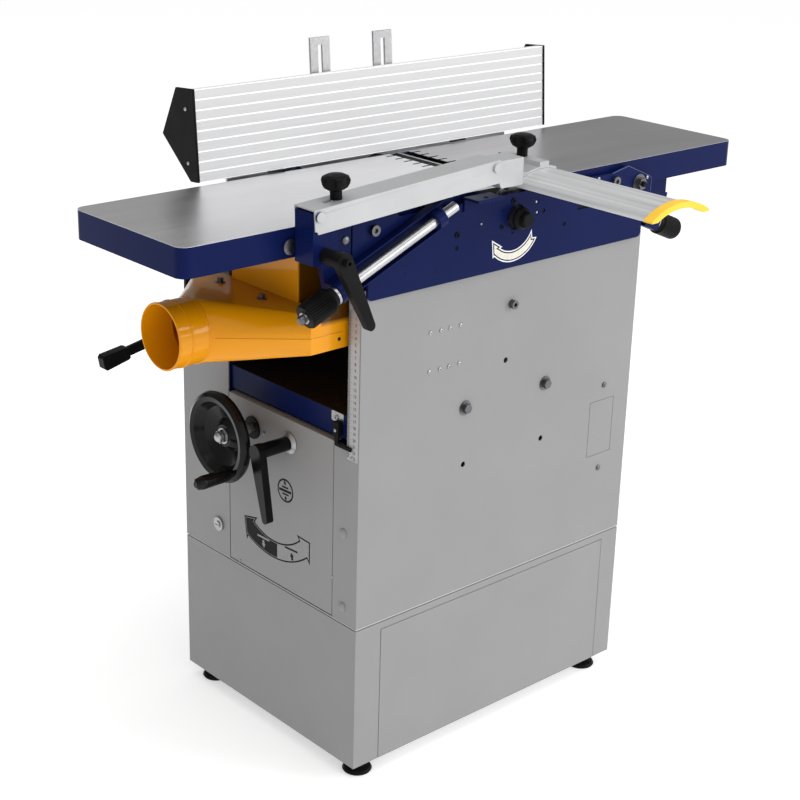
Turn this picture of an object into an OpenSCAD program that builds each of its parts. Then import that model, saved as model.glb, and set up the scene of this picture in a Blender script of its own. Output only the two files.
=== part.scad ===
// Combination planer thicknesser: surface planing on top, thicknessing in the throat below.
// X runs along the tables, the operator stands on the -Y side, Z is up from the floor.

/* [Base and cabinet] */
// Length of the base and cabinet along the tables
base_l = 610; // [560:5:700]
// Depth of the base and cabinet
base_d = 450; // [430:5:520]
// Height of the levelling feet
foot_h = 28; // [24:1:50]
// Height of the plinth box
plinth_h = 252; // [180:2:320]
// Height of the cabinet from the plinth to the blue side plate
cabinet_h = 531; // [531:1:560]
// Height of the end panels and the lower cabinet
end_panel_h = 298; // [280:1:298]
// Sheet metal thickness
sheet = 2; // [1.5:0.5:3]
// Depth of the drive compartment at the rear
drive_d = 126; // [120:2:160]
// Width of the folded front flange on the lower cabinet ends
flange_w = 57; // [50:1:60]
// Width of the narrow strip that carries the ruler
strip_w = 28; // [26:1:29]
// Height of the drive cover shoulders
cover_h = 410; // [380:2:420]

/* [Surface tables] */
// Height of the planing tables above the floor
table_z = 940; // [940:1:960]
// Space between the planing tables and the rear side plate
table_back = 56; // [54:1:64]
// Reach of the outfeed table from the cutter axis
outfeed_l = 611; // [560:1:700]
// Reach of the infeed table from the cutter axis
infeed_l = 541; // [500:1:650]
// Height of the table skirts
skirt_h = 43; // [40:1:44]
// Thickness of the table plates
table_t = 12; // [9:1:14]
// Travel of each table down its inclined rod
table_travel = 10; // [6:1:12]
// Slope of the inclined rods
slide_angle = 22.4; // [20:0.2:25]

/* [Cutter and rollers] */
// Diameter swept by the knives
cutting_d = 100; // [98:1:104]
// Half width of the mouth between the table lips
mouth_half = 20; // [19:1:26]
// Number of knives
knives = 3; // [2:1:4]
// Diameter of the feed rollers
roller_d = 40; // [36:1:42]
// Distance of each feed roller from the cutter axis
roller_x = 85; // [80:1:90]
// Number of anti-kickback fingers
fingers = 14; // [8:1:16]

/* [Thicknesser] */
// Height of the thicknesser table above the floor at its lowest
lift_z = 624; // [622:1:640]
// Thickness of the thicknesser table
lift_t = 39; // [30:1:40]
// Space between the cabinet front and the thicknesser table
lift_gap = 35; // [35:1:50]
// Diameter of the handwheel
wheel_d = 150; // [130:2:170]
// Length of the lock lever
lock_l = 114; // [90:1:130]
// Length of the ruler
ruler_l = 244; // [220:1:246]

/* [Dust hood] */
// Outside diameter of the dust outlet
outlet_d = 100; // [90:1:104]
// Reach of the dust outlet from the cutter axis
outlet_x = 520; // [500:1:560]
// Height of the outlet axis
outlet_z = 750; // [746:1:760]
// Wall of the dust hood
hood_t = 2; // [1.5:0.5:3]

/* [Guard] */
// Length of the guard arm
arm_l = 351; // [340:1:360]
// Outside width of the guard arm
arm_w = 44; // [40:1:46]
// Rise of the guard arm at rest
arm_rise = 3.8; // [3:0.2:5]
// Length of the cutter guard
guard_l = 357; // [320:1:380]
// Width of the cutter guard
guard_w = 124; // [116:1:136]
// Arch height of the cutter guard
guard_rise = 19; // [16:1:26]

/* [Fence] */
// Length of the fence
fence_l = 737; // [650:1:800]
// Height of the fence
fence_h = 137; // [120:1:150]
// Lean of the fence at rest
fence_lean = 4.4; // [0:0.2:8]
// Width of the slotted straps
strap_w = 39; // [34:1:44]
// Reach of the fence slide bar behind the fence
bar_l = 256; // [220:2:290]

/* [Hidden] */

// Running gap between bodies and radial play of a shaft in its bore
gap = 0.3;
play = 0.05;
round_fn = 48;
fine_fn = 72;

// Levels and faces of the cabinet
half_l = base_l / 2;
half_d = base_d / 2;
plinth_top = foot_h + plinth_h;
plate_z = plinth_top + cabinet_h;
end_top = plinth_top + end_panel_h;
throat_rear = half_d - drive_d;
seam = 0.5;
foot_inset_x = 36;
foot_inset_y = 32;
panel_edge = 52;
panel_t = 1.2;
lap = 15;
knock_x = 208;
knock_z = 434;
knock_w = 60;
knock_h = 100;

// Side plates
plate_t = 5;
plate_top = table_z - 12;
plate_half = half_l - 7;
ear_x = plate_half + 18;
plate_corner = 8;
reveal = 4;
front_face = -half_d - plate_t;

// Tables
table_front = -half_d + 6;
table_rear = throat_rear - table_back;
skirt_t = 10;
skirt_z = table_z - skirt_h;
lip_play = 3;
slot_pitch = 21.2;
slot_l = 17;
slot_w = 5;
corner_r = 17;

// Cutter
cutting_r = cutting_d / 2;
cutter_z = table_z - cutting_r;
block_r = cutting_r - 2;
block_front = table_front + 6;
block_rear = table_rear + 4;
journal_r = 15;
pulley_r = 35;
motor_pulley_r = 60;
belt_w = 14;
belt_t = 5;
belt_y = throat_rear + plate_t + 24;
motor_x = half_l - 135;
motor_l = 198;
motor_z = plinth_top + 110;
motor_r = 75;
motor_shaft_r = 12;
bearing_r = 38;

// Feed rollers and fingers
roller_r = roller_d / 2;
roller_z = cutter_z - cutting_r - 1 + roller_r;
roller_shaft_r = 8;
finger_x = -152;
finger_z = cutter_z - 10;
finger_shaft_r = 6;
finger_r = 11;
finger_w = 8;

// Thicknesser table, column and lift
lift_front = -half_d + lift_gap;
lift_w = throat_rear - 3 - lift_front;
lift_under = lift_z - lift_t;
lift_half = half_l - 5;
column_x = 80;
column_y = 70;
column_cy = throat_rear - 149;
column_end = 300;
housing_wall = 15;
housing_top = lift_under - 30;
wheel_y = throat_rear - 65;
wheel_z = lift_under - 49;
shaft_r = 8;
screw_r = 10;
bevel_r = 20;
lug_half = 18;
lug_z = plinth_top + 40;
lug_t = 30;
wheel_back = 56;
rim_w = 20;
wheel_r = wheel_d / 2;
grip_angle = 229;
grip_ring = wheel_r - 10;
grip_l = 66;
grip_r = 11;
lock_y = column_cy - 10;
lock_z = wheel_z + 4;
lock_tilt = 13;
lock_hub = 50;
lock_shaft_r = 6;
ruler_top = plate_z - 8;
ruler_t = 1.2;

// Dust hood
outlet_r = outlet_d / 2;
outlet_side = 20;
tube_l = 54;
hood_floor = lift_z + 110;
hood_top = hood_floor + 61;
hood_roof = cutter_z - cutting_r - 8;
hood_left = 370;
hood_right = 118;
hood_front = lift_front;
hood_rear = throat_rear - 9;
outlet_y = (hood_front + hood_rear) / 2 + outlet_side;
chip_mouth = 62;
chute_left = 354;
chute_right = 215;
chute_front = hood_front + 51;
chute_rear = hood_rear - 70;
chute_top = skirt_z - 12;
flare_rise = (outlet_z + outlet_r - hood_top) / (outlet_x - tube_l - hood_left);

// Inclined slides: the origin is on the rod axis at the upper ring clamp
rod_r = 8;
rod_top_out = 36;
rod_top_in = 20;
rod_end = 204;
spindle_r = 6;
spindle_s = 130;
rod_y_out = front_face - 20;
rod_y_in = table_front + skirt_t + 16;
rod_y_rear = throat_rear - 24;
out_x = -184;
out_z = table_z - 20;
in_x = 184;
in_z = table_z - 44;
collar_s = 172;
collar_l = 34;
collar_r = 16;
knob_s = collar_s + collar_l + 5;
knob_l = 55;
knob_r = 19;
cheek_in = 147;
cheek_t = 10;
cheek_top = table_z - 5;
ear_left = cheek_in - out_x - 2;
channel_l = 187;
channel_d = 15;

// Guard arm and bracket
arm_h = 35;
arm_t = 2;
arm_front = table_front - 1 - arm_w;
arm_mid = arm_front + arm_w / 2;
pin_r = 4;
pin_x = -417;
pin_z = table_z + 21.6;
pin_end = 8;
pin_drop = 10.6;
arm_span = arm_l - 2 * pin_end;
right_pin_x = pin_x + arm_span * cos(arm_rise);
right_pin_z = pin_z + arm_span * sin(arm_rise);
lever_x = -405;
lever_z = table_z - 34;
lever_l = 118;
lever_tilt = 26;
arm_knob_s = 48;

// Guard
guard_x = 42;
guard_z = table_z + 2.5;
guard_t = 3;
guard_rear = table_front + 69;
guard_tip = guard_rear - guard_l;
arch_r = (pow(guard_w / 2, 2) + pow(guard_rise, 2)) / (2 * guard_rise);
arch_z = guard_z + guard_rise - arch_r;
saddle_l = 90;
rail_w = 20;
cap_l = 16;
knob_x = guard_x + 3;

// Fence
fence_y = table_rear + 7.4;
fence_z = table_z + 3;
fence_mid = -20.5;
fence_t = 8;
hinge_y = fence_y + 35.6;
hinge_z = fence_z + 23;
strap_x = [-128, 2];
strap_t = 4;
strap_top = 190;
back_depth = 26;
bar_x = -75;
bar_w = 30;
bar_t = 12;
bar_z = table_z + 4;
rail_rear = hinge_y - 12 + bar_l;
cover_tower_l = -48;
cover_tower_r = 150;
tower_top = plate_top + 8;

// Feed lever on the rear of the drive cover
feed_x = -285;
feed_z = plinth_top + cover_h - 35;
feed_reach = 172;
feed_drop = 11;

// Switch box on the right end panel
switch_y = 200 - half_d;

// The overall box of the machine puts its origin under the middle
box_front = guard_tip - cap_l + 12;
shift_x = (outfeed_l - infeed_l) / 2;
shift_y = -(rail_rear + box_front) / 2;

module place() translate([shift_x, shift_y, 0]) children();

// A bar between two corners
module block(low, high) translate(low) cube(high - low);
module rod_x(x0, x1, y, z, r) translate([x0, y, z]) rotate([0, 90, 0]) cylinder(h = x1 - x0, r = r, $fn = round_fn);
module rod_y(y0, y1, x, z, r) translate([x, y0, z]) rotate([-90, 0, 0]) cylinder(h = y1 - y0, r = r, $fn = round_fn);
module rod_z(z0, z1, x, y, r) translate([x, y, z0]) cylinder(h = z1 - z0, r = r, $fn = round_fn);
// A profile drawn in X and Z, pushed from y0 to y1
module prism_y(y0, y1) translate([0, y1, 0]) rotate([90, 0, 0]) linear_extrude(y1 - y0) children();
// A profile drawn in Y and Z, pushed from x0 to x1
module prism_x(x0, x1) translate([x0, 0, 0]) rotate([90, 0, 90]) linear_extrude(x1 - x0) children();

// Local Z runs down the slope of a table's rod, away from the cutter
module outfeed_axis(y) translate([out_x, y, out_z]) rotate([0, -90 - slide_angle, 0]) children();
module infeed_axis(y) translate([in_x, y, in_z]) mirror([1, 0, 0]) rotate([0, -90 - slide_angle, 0]) children();

module base_plinth() {
    color("silver") place() difference() {
        union() {
            block([-half_l, -half_d, foot_h], [half_l, half_d, plinth_top - reveal]);
            block([-half_l + 2, -half_d + 2, plinth_top - reveal], [half_l - 2, half_d - 2, plinth_top]);
        }
        block([-half_l + sheet, -half_d + sheet + panel_t, foot_h + sheet],
            [half_l - sheet, half_d - sheet, plinth_top - reveal - sheet]);
        block([-half_l + panel_edge, -half_d - 1, foot_h - 1],
            [half_l - panel_edge + 12, -half_d + panel_t, plinth_top - 16]);
        for (x = [-1, 1], y = [-1, 1])
            rod_z(foot_h - 1, foot_h + sheet + 1, x * (half_l - foot_inset_x), y * (half_d - foot_inset_y), 7);
    }
}

module plinth_front_panel() {
    color("silver") place() block([-half_l + panel_edge + 1, -half_d, foot_h],
        [half_l - panel_edge + 11, -half_d + panel_t, plinth_top - 17]);
}

module levelling_feet() {
    color("dimgray") place() for (x = [-1, 1], y = [-1, 1])
        translate([x * (half_l - foot_inset_x), y * (half_d - foot_inset_y), 0])
            rotate_extrude($fn = round_fn) polygon([[0, 0], [23, 0], [24.5, 2.5], [22, 7], [14, 11], [12, 16],
                [12, foot_h], [6, foot_h], [6, foot_h + 24], [0, foot_h + 24]]);
}

module side_fold(side, width, z0, z1) {
    x = side > 0 ? half_l - sheet : -half_l;
    block([x, -half_d + sheet, z0], [x + sheet, -half_d + width, z1]);
}

module cabinet_front_panel() {
    color("silver") place() difference() {
        union() {
            block([-half_l, -half_d, plinth_top], [half_l, -half_d + sheet, plate_z + lap]);
            block([-half_l + sheet, -half_d + sheet, plinth_top], [half_l - sheet, -half_d + 34, plinth_top + sheet]);
            for (side = [-1, 1]) {
                side_fold(side, flange_w, plinth_top, end_top);
                side_fold(side, strip_w, end_top, plate_z);
            }
        }
        for (p = [[-2, 657], [90, 500.5], [-87, 500.5]])
            rod_y(-half_d - 1, -half_d + sheet + 1, p[0], p[1], 4.7);
        for (x = [-168, -146, -127, -105], z = [674, 736])
            rod_y(-half_d - 1, -half_d + sheet / 2, x, z, 3);
        difference() {
            block([knock_x, -half_d - 1, knock_z], [knock_x + knock_w, -half_d + 0.8, knock_z + knock_h]);
            block([knock_x + 1, -half_d - 2, knock_z + 1], [knock_x + knock_w - 1, -half_d + 1, knock_z + knock_h - 1]);
        }
    }
}

module end_panel(side) {
    x = side > 0 ? half_l - sheet : -half_l;
    inner = side > 0 ? x - 12 : x + sheet;
    block([x, -half_d + flange_w + seam, plinth_top + seam], [x + sheet, throat_rear - seam, end_top]);
    block([inner, -half_d + flange_w + seam, end_top - sheet], [inner + 12, throat_rear - seam, end_top]);
}

module left_end_panel() {
    color("gray") place() difference() {
        end_panel(-1);
        rod_x(-half_l - 1, -half_l + sheet + 1, wheel_y, wheel_z, 17);
        rod_x(-half_l - 1, -half_l + sheet + 1, lock_y, lock_z, lock_shaft_r + 1);
    }
}

module right_end_panel() {
    color("gray") place() end_panel(1);
}

module cover_outline(inset) {
    w = half_l - inset;
    polygon([[-w, plinth_top + inset], [w, plinth_top + inset], [w, plinth_top + cover_h - inset],
        [cover_tower_r + 60, plinth_top + cover_h - inset], [cover_tower_r - inset, tower_top - inset],
        [cover_tower_l + inset, tower_top - inset], [cover_tower_l + inset, plinth_top + cover_h - inset],
        [-w, plinth_top + cover_h - inset]]);
}

module drive_cover() {
    color("gray") place() {
        difference() {
            prism_y(throat_rear + plate_t, half_d) cover_outline(0);
            prism_y(throat_rear + plate_t - 1, half_d - sheet) cover_outline(sheet);
        }
        for (x = [-half_l, half_l - sheet])
            block([x, throat_rear, plinth_top], [x + sheet, throat_rear + plate_t + 1, plinth_top + cover_h]);
    }
}

module cover_latch() {
    color("silver") place() difference() {
        union() {
            rod_x(-half_l - 4, -half_l - gap, half_d - 97, plinth_top + 52, 12);
            rod_x(-half_l - 6, -half_l - 4, half_d - 97, plinth_top + 52, 6);
        }
        block([-half_l - 7, half_d - 102, plinth_top + 51], [-half_l - 5, half_d - 92, plinth_top + 53]);
    }
}

// A quarter circle of points that starts at angle a0
function quarter(x, z, r, a0) = [for (a = [a0 : 15 : a0 + 90]) [x + r * cos(a), z + r * sin(a)]];

module front_side_plate() {
    r = plate_corner;
    color("midnightblue") place() difference() {
        prism_y(front_face, -half_d) polygon(concat(quarter(-plate_half + r, plate_z + r, r, 180),
            quarter(plate_half - r, plate_z + r, r, 270), [[plate_half, plate_z + 68], [ear_x, plate_z + 74],
            [ear_x, plate_top - 20], [ear_x - 8, plate_top - 15], [plate_half - 42, plate_top + 7],
            [plate_half - 80, plate_top], [-plate_half + 58, plate_top], [-plate_half + 50, cheek_top],
            [-ear_left, cheek_top], [-ear_left, plate_z + 52], [-plate_half, plate_z + 44]]));
        rod_y(front_face - 1, -half_d + 1, 0, cutter_z, 20);
        for (side = [-1, 1])
            rod_y(front_face + 1, -half_d + 1, side * roller_x, roller_z, roller_shaft_r + play);
        rod_y(front_face + 1, -half_d + 1, finger_x, finger_z, finger_shaft_r);
        for (p = [[-125, 861.5], [44, 907], [46, 890], [60, 891], [109, 862]])
            rod_y(front_face - 1, -half_d + 1, p[0], p[1], 3.5);
        block([139, front_face - 1, 880], [172, -half_d + 1, 886]);
    }
}

module rear_side_plate() {
    color("midnightblue") place() difference() {
        block([-half_l + sheet, throat_rear, plinth_top], [half_l - sheet, throat_rear + plate_t, plate_top]);
        rod_y(throat_rear - 1, throat_rear + plate_t + 1, 0, cutter_z, journal_r + 5);
        for (side = [-1, 1])
            rod_y(throat_rear - 1, throat_rear + plate_t + 1, side * roller_x, roller_z, roller_shaft_r + play);
        rod_y(throat_rear - 1, throat_rear + plate_t + 1, finger_x, finger_z, finger_shaft_r);
        rod_y(throat_rear - 1, throat_rear + plate_t + 1, motor_x, motor_z, motor_shaft_r + 8);
    }
}

module spindle_bearings() {
    color("dimgray") place() {
        difference() {
            rod_y(-half_d, table_front - gap, 0, cutter_z, bearing_r);
            rod_y(-half_d - 1, table_front, 0, cutter_z, journal_r + play);
        }
        difference() {
            rod_y(throat_rear - 14, throat_rear, 0, cutter_z, bearing_r);
            rod_y(throat_rear - 15, throat_rear + 1, 0, cutter_z, journal_r + play);
        }
    }
}

module gullets(depth) {
    for (i = [0 : knives - 1]) translate([0, 0, cutter_z]) rotate([0, i * 360 / knives, 0])
        translate([-14, block_front, block_r - depth]) cube([14, block_rear - block_front, depth + 10]);
}

module cutter_block() {
    color("silver") place() union() {
        difference() {
            rod_y(block_front, block_rear, 0, cutter_z, block_r);
            gullets(18);
        }
        rod_y(front_face - 8, block_front, 0, cutter_z, journal_r);
        rod_y(block_rear, belt_y + 12, 0, cutter_z, journal_r);
        rod_y(belt_y - 9, belt_y + 9, 0, cutter_z, pulley_r);
    }
}

module cutter_knives() {
    color("lightsteelblue") place() for (i = [0 : knives - 1])
        translate([0, 0, cutter_z]) rotate([0, i * 360 / knives, 0]) {
            translate([-3, block_front + 1, block_r - 18]) cube([3, block_rear - block_front - 2, 20 - 0.15]);
            translate([-13, block_front + 1, block_r - 18]) cube([9.8, block_rear - block_front - 2, 9]);
        }
}

module spindle_cap() {
    color("#1a1a1a") place() translate([0, front_face - 8, cutter_z]) rotate([90, 0, 0])
        rotate_extrude($fn = round_fn)
            polygon([[0, 0], [17, 0], [18, 3], [17, 6], [13, 10], [12, 17], [10, 19], [0, 19]]);
}

module motor() {
    color("dimgray") place() union() {
        rod_y(throat_rear - 12 - motor_l, throat_rear - 12, motor_x, motor_z, motor_r);
        rod_y(throat_rear - 12, throat_rear, motor_x, motor_z, motor_r + 8);
        for (i = [0 : 23]) translate([motor_x, throat_rear - motor_l - 2, motor_z]) rotate([0, i * 15, 0])
            translate([motor_r - 1, 0, -1.5]) cube([9, motor_l - 28, 3]);
    }
}

module motor_pulley() {
    color("silver") place() union() {
        rod_y(throat_rear + gap, belt_y + 14, motor_x, motor_z, motor_shaft_r);
        rod_y(belt_y - 9, belt_y + 9, motor_x, motor_z, motor_pulley_r);
    }
}

module belt_loop(extra) {
    hull() {
        translate([0, cutter_z]) circle(r = pulley_r + extra, $fn = fine_fn);
        translate([motor_x, motor_z]) circle(r = motor_pulley_r + extra, $fn = fine_fn);
    }
}

module drive_belt() {
    color("#202020") place() prism_y(belt_y - belt_w / 2, belt_y + belt_w / 2) difference() {
        belt_loop(belt_t + gap);
        belt_loop(gap);
    }
}

module feed_roller(x) {
    rod_y(hood_front - 4, throat_rear - 4, x, roller_z, roller_r);
    rod_y(front_face + 1 + gap, hood_front, x, roller_z, roller_shaft_r);
    rod_y(throat_rear - 5, throat_rear + plate_t + 12, x, roller_z, roller_shaft_r);
}

module infeed_roller() {
    color("silver") place() difference() {
        feed_roller(-roller_x);
        for (i = [0 : 17]) translate([-roller_x, hood_front - 5, roller_z]) rotate([0, i * 20, 0])
            translate([roller_r - 1.5, 0, -1.5]) cube([3, lift_w + 12, 3]);
    }
}

module outfeed_roller() {
    color("dimgray") place() feed_roller(roller_x);
}

module kickback_shaft() {
    color("silver") place() rod_y(front_face + 1, throat_rear + plate_t, finger_x, finger_z, finger_shaft_r);
}

module kickback_fingers() {
    pitch = (lift_w - 34) / fingers;
    color("gray") place() for (i = [0 : fingers - 1])
        translate([0, hood_front + 8 + i * pitch, 0]) difference() {
            prism_y(0, finger_w) translate([finger_x, finger_z]) union() {
                circle(r = finger_r, $fn = round_fn);
                polygon([[-5, -9], [9, -5], [26, -20], [28, -34], [20, -36]]);
            }
            rod_y(-1, finger_w + 1, finger_x, finger_z, finger_shaft_r + play);
        }
}

module thicknesser_table() {
    color("midnightblue") place() difference() {
        union() {
            difference() {
                block([-lift_half, lift_front, lift_under], [lift_half, lift_front + lift_w, lift_z]);
                block([-lift_half + 12, lift_front + 12, lift_under - 1],
                    [lift_half - 12, lift_front + lift_w - 12, lift_z - 12]);
            }
            for (x = [-190, -90, 90, 190])
                block([x - 5, lift_front + 12, lift_under + 4], [x + 5, lift_front + lift_w - 12, lift_z - 12]);
            block([-column_x / 2 - 20, column_cy - column_y / 2 - 20, lift_under],
                [column_x / 2 + 20, column_cy + column_y / 2 + 20, lift_z - 12]);
            block([-column_x / 2, column_cy - column_y / 2, column_end],
                [column_x / 2, column_cy + column_y / 2, lift_under]);
            block([-lug_half, column_cy + column_y / 2, lug_z], [lug_half, wheel_y + 16, lug_z + lug_t]);
        }
        rod_z(lug_z - 1, lug_z + lug_t + 1, 0, wheel_y, screw_r + play);
    }
}

module scale_pointer() {
    y = lift_front + 8;
    color("#1a1a1a") place() union() {
        block([-half_l - 5, y, lift_under + 5], [-lift_half, y + 12, lift_under + 27]);
        block([-half_l - 5, y, lift_under - 11], [-half_l - 2, y + 8, lift_under + 5]);
        block([-half_l - 5, -half_d + 14, lift_under - 11], [-half_l - 2, y, lift_under - 5]);
    }
}

module ruler_scale() {
    color("lightgray") place() block([-half_l - ruler_t, -half_d + 2, ruler_top - ruler_l],
        [-half_l, -half_d + strip_w - 2, ruler_top]);
}

module lift_housing() {
    ox = column_x / 2 + housing_wall;
    oy = column_y / 2 + housing_wall;
    color("dimgray") place() difference() {
        union() {
            block([-ox, column_cy - oy, plinth_top + 3], [ox, column_cy + oy, housing_top]);
            block([-ox - 25, column_cy - oy - 20, plinth_top], [ox + 25, wheel_y + 45, plinth_top + 14]);
            block([-26, column_cy + oy, lug_z + lug_t + 140], [26, wheel_y + 22, lug_z + lug_t + 152]);
            block([-ox - 18, column_cy + oy - 12, wheel_z - 22], [-ox + 4, wheel_y + 18, housing_top]);
        }
        block([-column_x / 2 - gap, column_cy - column_y / 2 - gap, plinth_top + 8],
            [column_x / 2 + gap, column_cy + column_y / 2 + gap, housing_top + 1]);
        block([-lug_half - gap, column_cy + column_y / 2 - 1, lug_z - 10],
            [lug_half + gap, column_cy + oy + 1, lug_z + lug_t + 130]);
        rod_z(lug_z + lug_t + 139, lug_z + lug_t + 153, 0, wheel_y, shaft_r + play);
        rod_z(plinth_top + 4, plinth_top + 15, 0, wheel_y, shaft_r + play);
        rod_x(-ox - 19, -ox + 5, wheel_y, wheel_z, shaft_r + play);
        rod_x(-ox - 1, -column_x / 2, lock_y, lock_z, lock_shaft_r + play);
    }
}

module lift_screw() {
    top = lug_z + lug_t + 152 + gap;
    color("silver") place() union() {
        rod_z(plinth_top + 5, top, 0, wheel_y, shaft_r);
        rod_z(plinth_top + 14 + gap, lug_z + lug_t + 140 - gap, 0, wheel_y, screw_r);
        translate([0, wheel_y, top]) rotate_extrude($fn = round_fn)
            polygon([[0, 0], [bevel_r - 4, 0], [bevel_r - 0.4, wheel_z - bevel_r - top],
                [bevel_r / 2 - 0.4, wheel_z - bevel_r / 2 - top - 0.4], [0, wheel_z - bevel_r / 2 - top - 0.4]]);
    }
}

module handwheel_shaft() {
    end = -half_l - wheel_back - 2;
    color("silver") place() union() {
        rod_x(end, -bevel_r - 6, wheel_y, wheel_z, shaft_r);
        translate([-bevel_r - 12, wheel_y, wheel_z]) rotate([0, 90, 0]) rotate_extrude($fn = round_fn)
            polygon([[0, 0], [bevel_r - 4, 0], [bevel_r - 0.4, 12], [bevel_r / 2 - 0.4, 12 + bevel_r / 2], [0, 12 + bevel_r / 2]]);
        translate([end, wheel_y, wheel_z]) rotate([0, -90, 0]) rotate_extrude($fn = round_fn)
            polygon([[0, 0], [13, 0], [13, 2], [9.5, 2], [9.5, 9], [8.5, 12], [6, 14.5], [3, 15.8], [0, 16]]);
        translate([end - 2, wheel_y, wheel_z]) rotate([0, -90, 0]) cylinder(h = 6, r = 11.5, $fn = 6);
    }
}

module handwheel() {
    color("#1a1a1a") place() translate([-half_l, wheel_y, wheel_z]) rotate([0, -90, 0]) difference() {
        rotate_extrude($fn = fine_fn) polygon([[shaft_r, 30], [20, 30], [24, 40], [wheel_r - 22, wheel_back - 2],
            [wheel_r - 8, wheel_back], [wheel_r - 2, wheel_back + 4], [wheel_r, wheel_back + 10],
            [wheel_r - 2, wheel_back + 16], [wheel_r - 8, wheel_back + rim_w], [wheel_r - 16, wheel_back + rim_w - 2],
            [wheel_r - 20, wheel_back + 12], [wheel_r - 26, wheel_back + 4], [28, wheel_back - 6],
            [18, wheel_back + 2], [shaft_r, wheel_back + 2]]);
        rotate([0, 0, grip_angle]) translate([grip_ring, 0, wheel_back + 6]) cylinder(h = 30, r = 4, $fn = round_fn);
    }
}

module at_grip() {
    translate([-half_l, wheel_y, wheel_z]) rotate([0, -90, 0]) rotate([0, 0, grip_angle])
        translate([grip_ring, 0, wheel_back + 6]) children();
}

module handwheel_grip() {
    color("#1a1a1a") place() at_grip() rotate_extrude($fn = round_fn)
        polygon([[0, 0.3], [4 - play, 0.3], [4 - play, rim_w - 5], [6, rim_w - 5], [6, rim_w - 1], [grip_r - 3, rim_w],
            [grip_r - 1, rim_w + 6], [grip_r, rim_w + grip_l - 12], [grip_r - 2, rim_w + grip_l - 3],
            [grip_r - 6, rim_w + grip_l], [0, rim_w + grip_l]]);
}

module shaft_collar() {
    color("#1a1a1a") place() difference() {
        union() {
            rod_x(-half_l - 3, -half_l, wheel_y, wheel_z, 19);
            rod_x(-half_l, -half_l + 10, wheel_y, wheel_z, 17);
        }
        rod_x(-half_l - 4, -half_l + 11, wheel_y, wheel_z, shaft_r + play);
    }
}

module lock_washer() {
    color("gainsboro") place() difference() {
        translate([-half_l, lock_y, lock_z]) rotate([0, -90, 0]) rotate_extrude($fn = round_fn)
            polygon([[0, 0], [18, 0], [18, 2], [12, 6], [0, 6]]);
        rod_x(-half_l - 7, -half_l + 1, lock_y, lock_z, lock_shaft_r + play);
    }
}

// A flat tapering handle that starts round its hub and runs towards -Y
module lever_arm(length, hub, tip, thick) {
    linear_extrude(thick) hull() {
        circle(r = hub, $fn = round_fn);
        translate([0, -length + tip]) circle(r = tip, $fn = round_fn);
    }
}

module lock_lever() {
    color("#1a1a1a") place() union() {
        translate([-half_l, lock_y, lock_z]) rotate([0, -90, 0]) rotate([0, 0, -90]) {
            translate([0, 0, 6 + gap]) cylinder(h = lock_hub, r1 = 11.5, r2 = 12, $fn = round_fn);
            translate([0, 0, lock_hub + 6]) rotate([0, 0, lock_tilt]) lever_arm(lock_l, 13, 6.5, 13);
        }
        rod_x(-half_l - 7, -column_x / 2 - 0.6, lock_y, lock_z, lock_shaft_r);
    }
}

module hood_shape(inset) {
    // The flare from the round outlet to the flat box
    hull() {
        rod_x(-outlet_x + tube_l, -outlet_x + tube_l + 1, outlet_y, outlet_z, outlet_r - inset);
        block([-hood_left, hood_front + inset, hood_floor + inset], [-hood_left + 1, hood_rear - inset, hood_top - inset]);
    }
    prism_y(hood_front + inset, hood_rear - inset) polygon([[-hood_left, hood_floor + inset],
        [hood_right - inset, hood_floor + inset], [hood_right - inset, hood_roof - inset],
        [-chip_mouth - 68, hood_roof - inset], [-hood_left, hood_top - inset]]);
    rod_x(-outlet_x - (inset > 0 ? 1 : 0), -outlet_x + tube_l, outlet_y, outlet_z, outlet_r - inset);
}

// Height of the sloping roof at a place along the hood
function roof_z(x) = hood_top + (x + hood_left) * (hood_roof - hood_top) / (hood_left - chip_mouth - 68);

// The cover that stands on the roof and closes the space below the outfeed table
module roof_cover(inset) prism_y(chute_front + inset, chute_rear - inset) {
    x0 = -chute_left + inset;
    x1 = -chute_right - inset;
    under = inset > 0 ? -5 : gap;
    polygon([[x0, roof_z(x0) + under], [x1, roof_z(x1) + under], [x1, chute_top - inset], [x0, chute_top - inset]]);
}

module dust_hood() {
    color("orange") place() union() {
        difference() {
            roof_cover(0);
            roof_cover(hood_t);
        }
        difference() {
            hood_shape(0);
            hood_shape(hood_t);
            block([-chip_mouth, hood_front + 4, hood_roof - hood_t - 1], [chip_mouth, hood_rear - 4, hood_roof + 1]);
        }
        for (x = [-250, 95]) {
            rod_y(-half_d + sheet, hood_front, x, hood_floor + 24, 6);
            rod_y(hood_rear, throat_rear, x, hood_floor + 24, 6);
        }
    }
}

// A bar seen from above whose far end has rounded corners
module rounded_end(x0, x1, y0, y1, r) hull() {
    translate([x0, y0]) square([10, y1 - y0]);
    for (y = [y0 + r, y1 - r]) translate([x1 - r, y]) circle(r = r, $fn = round_fn);
}

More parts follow.
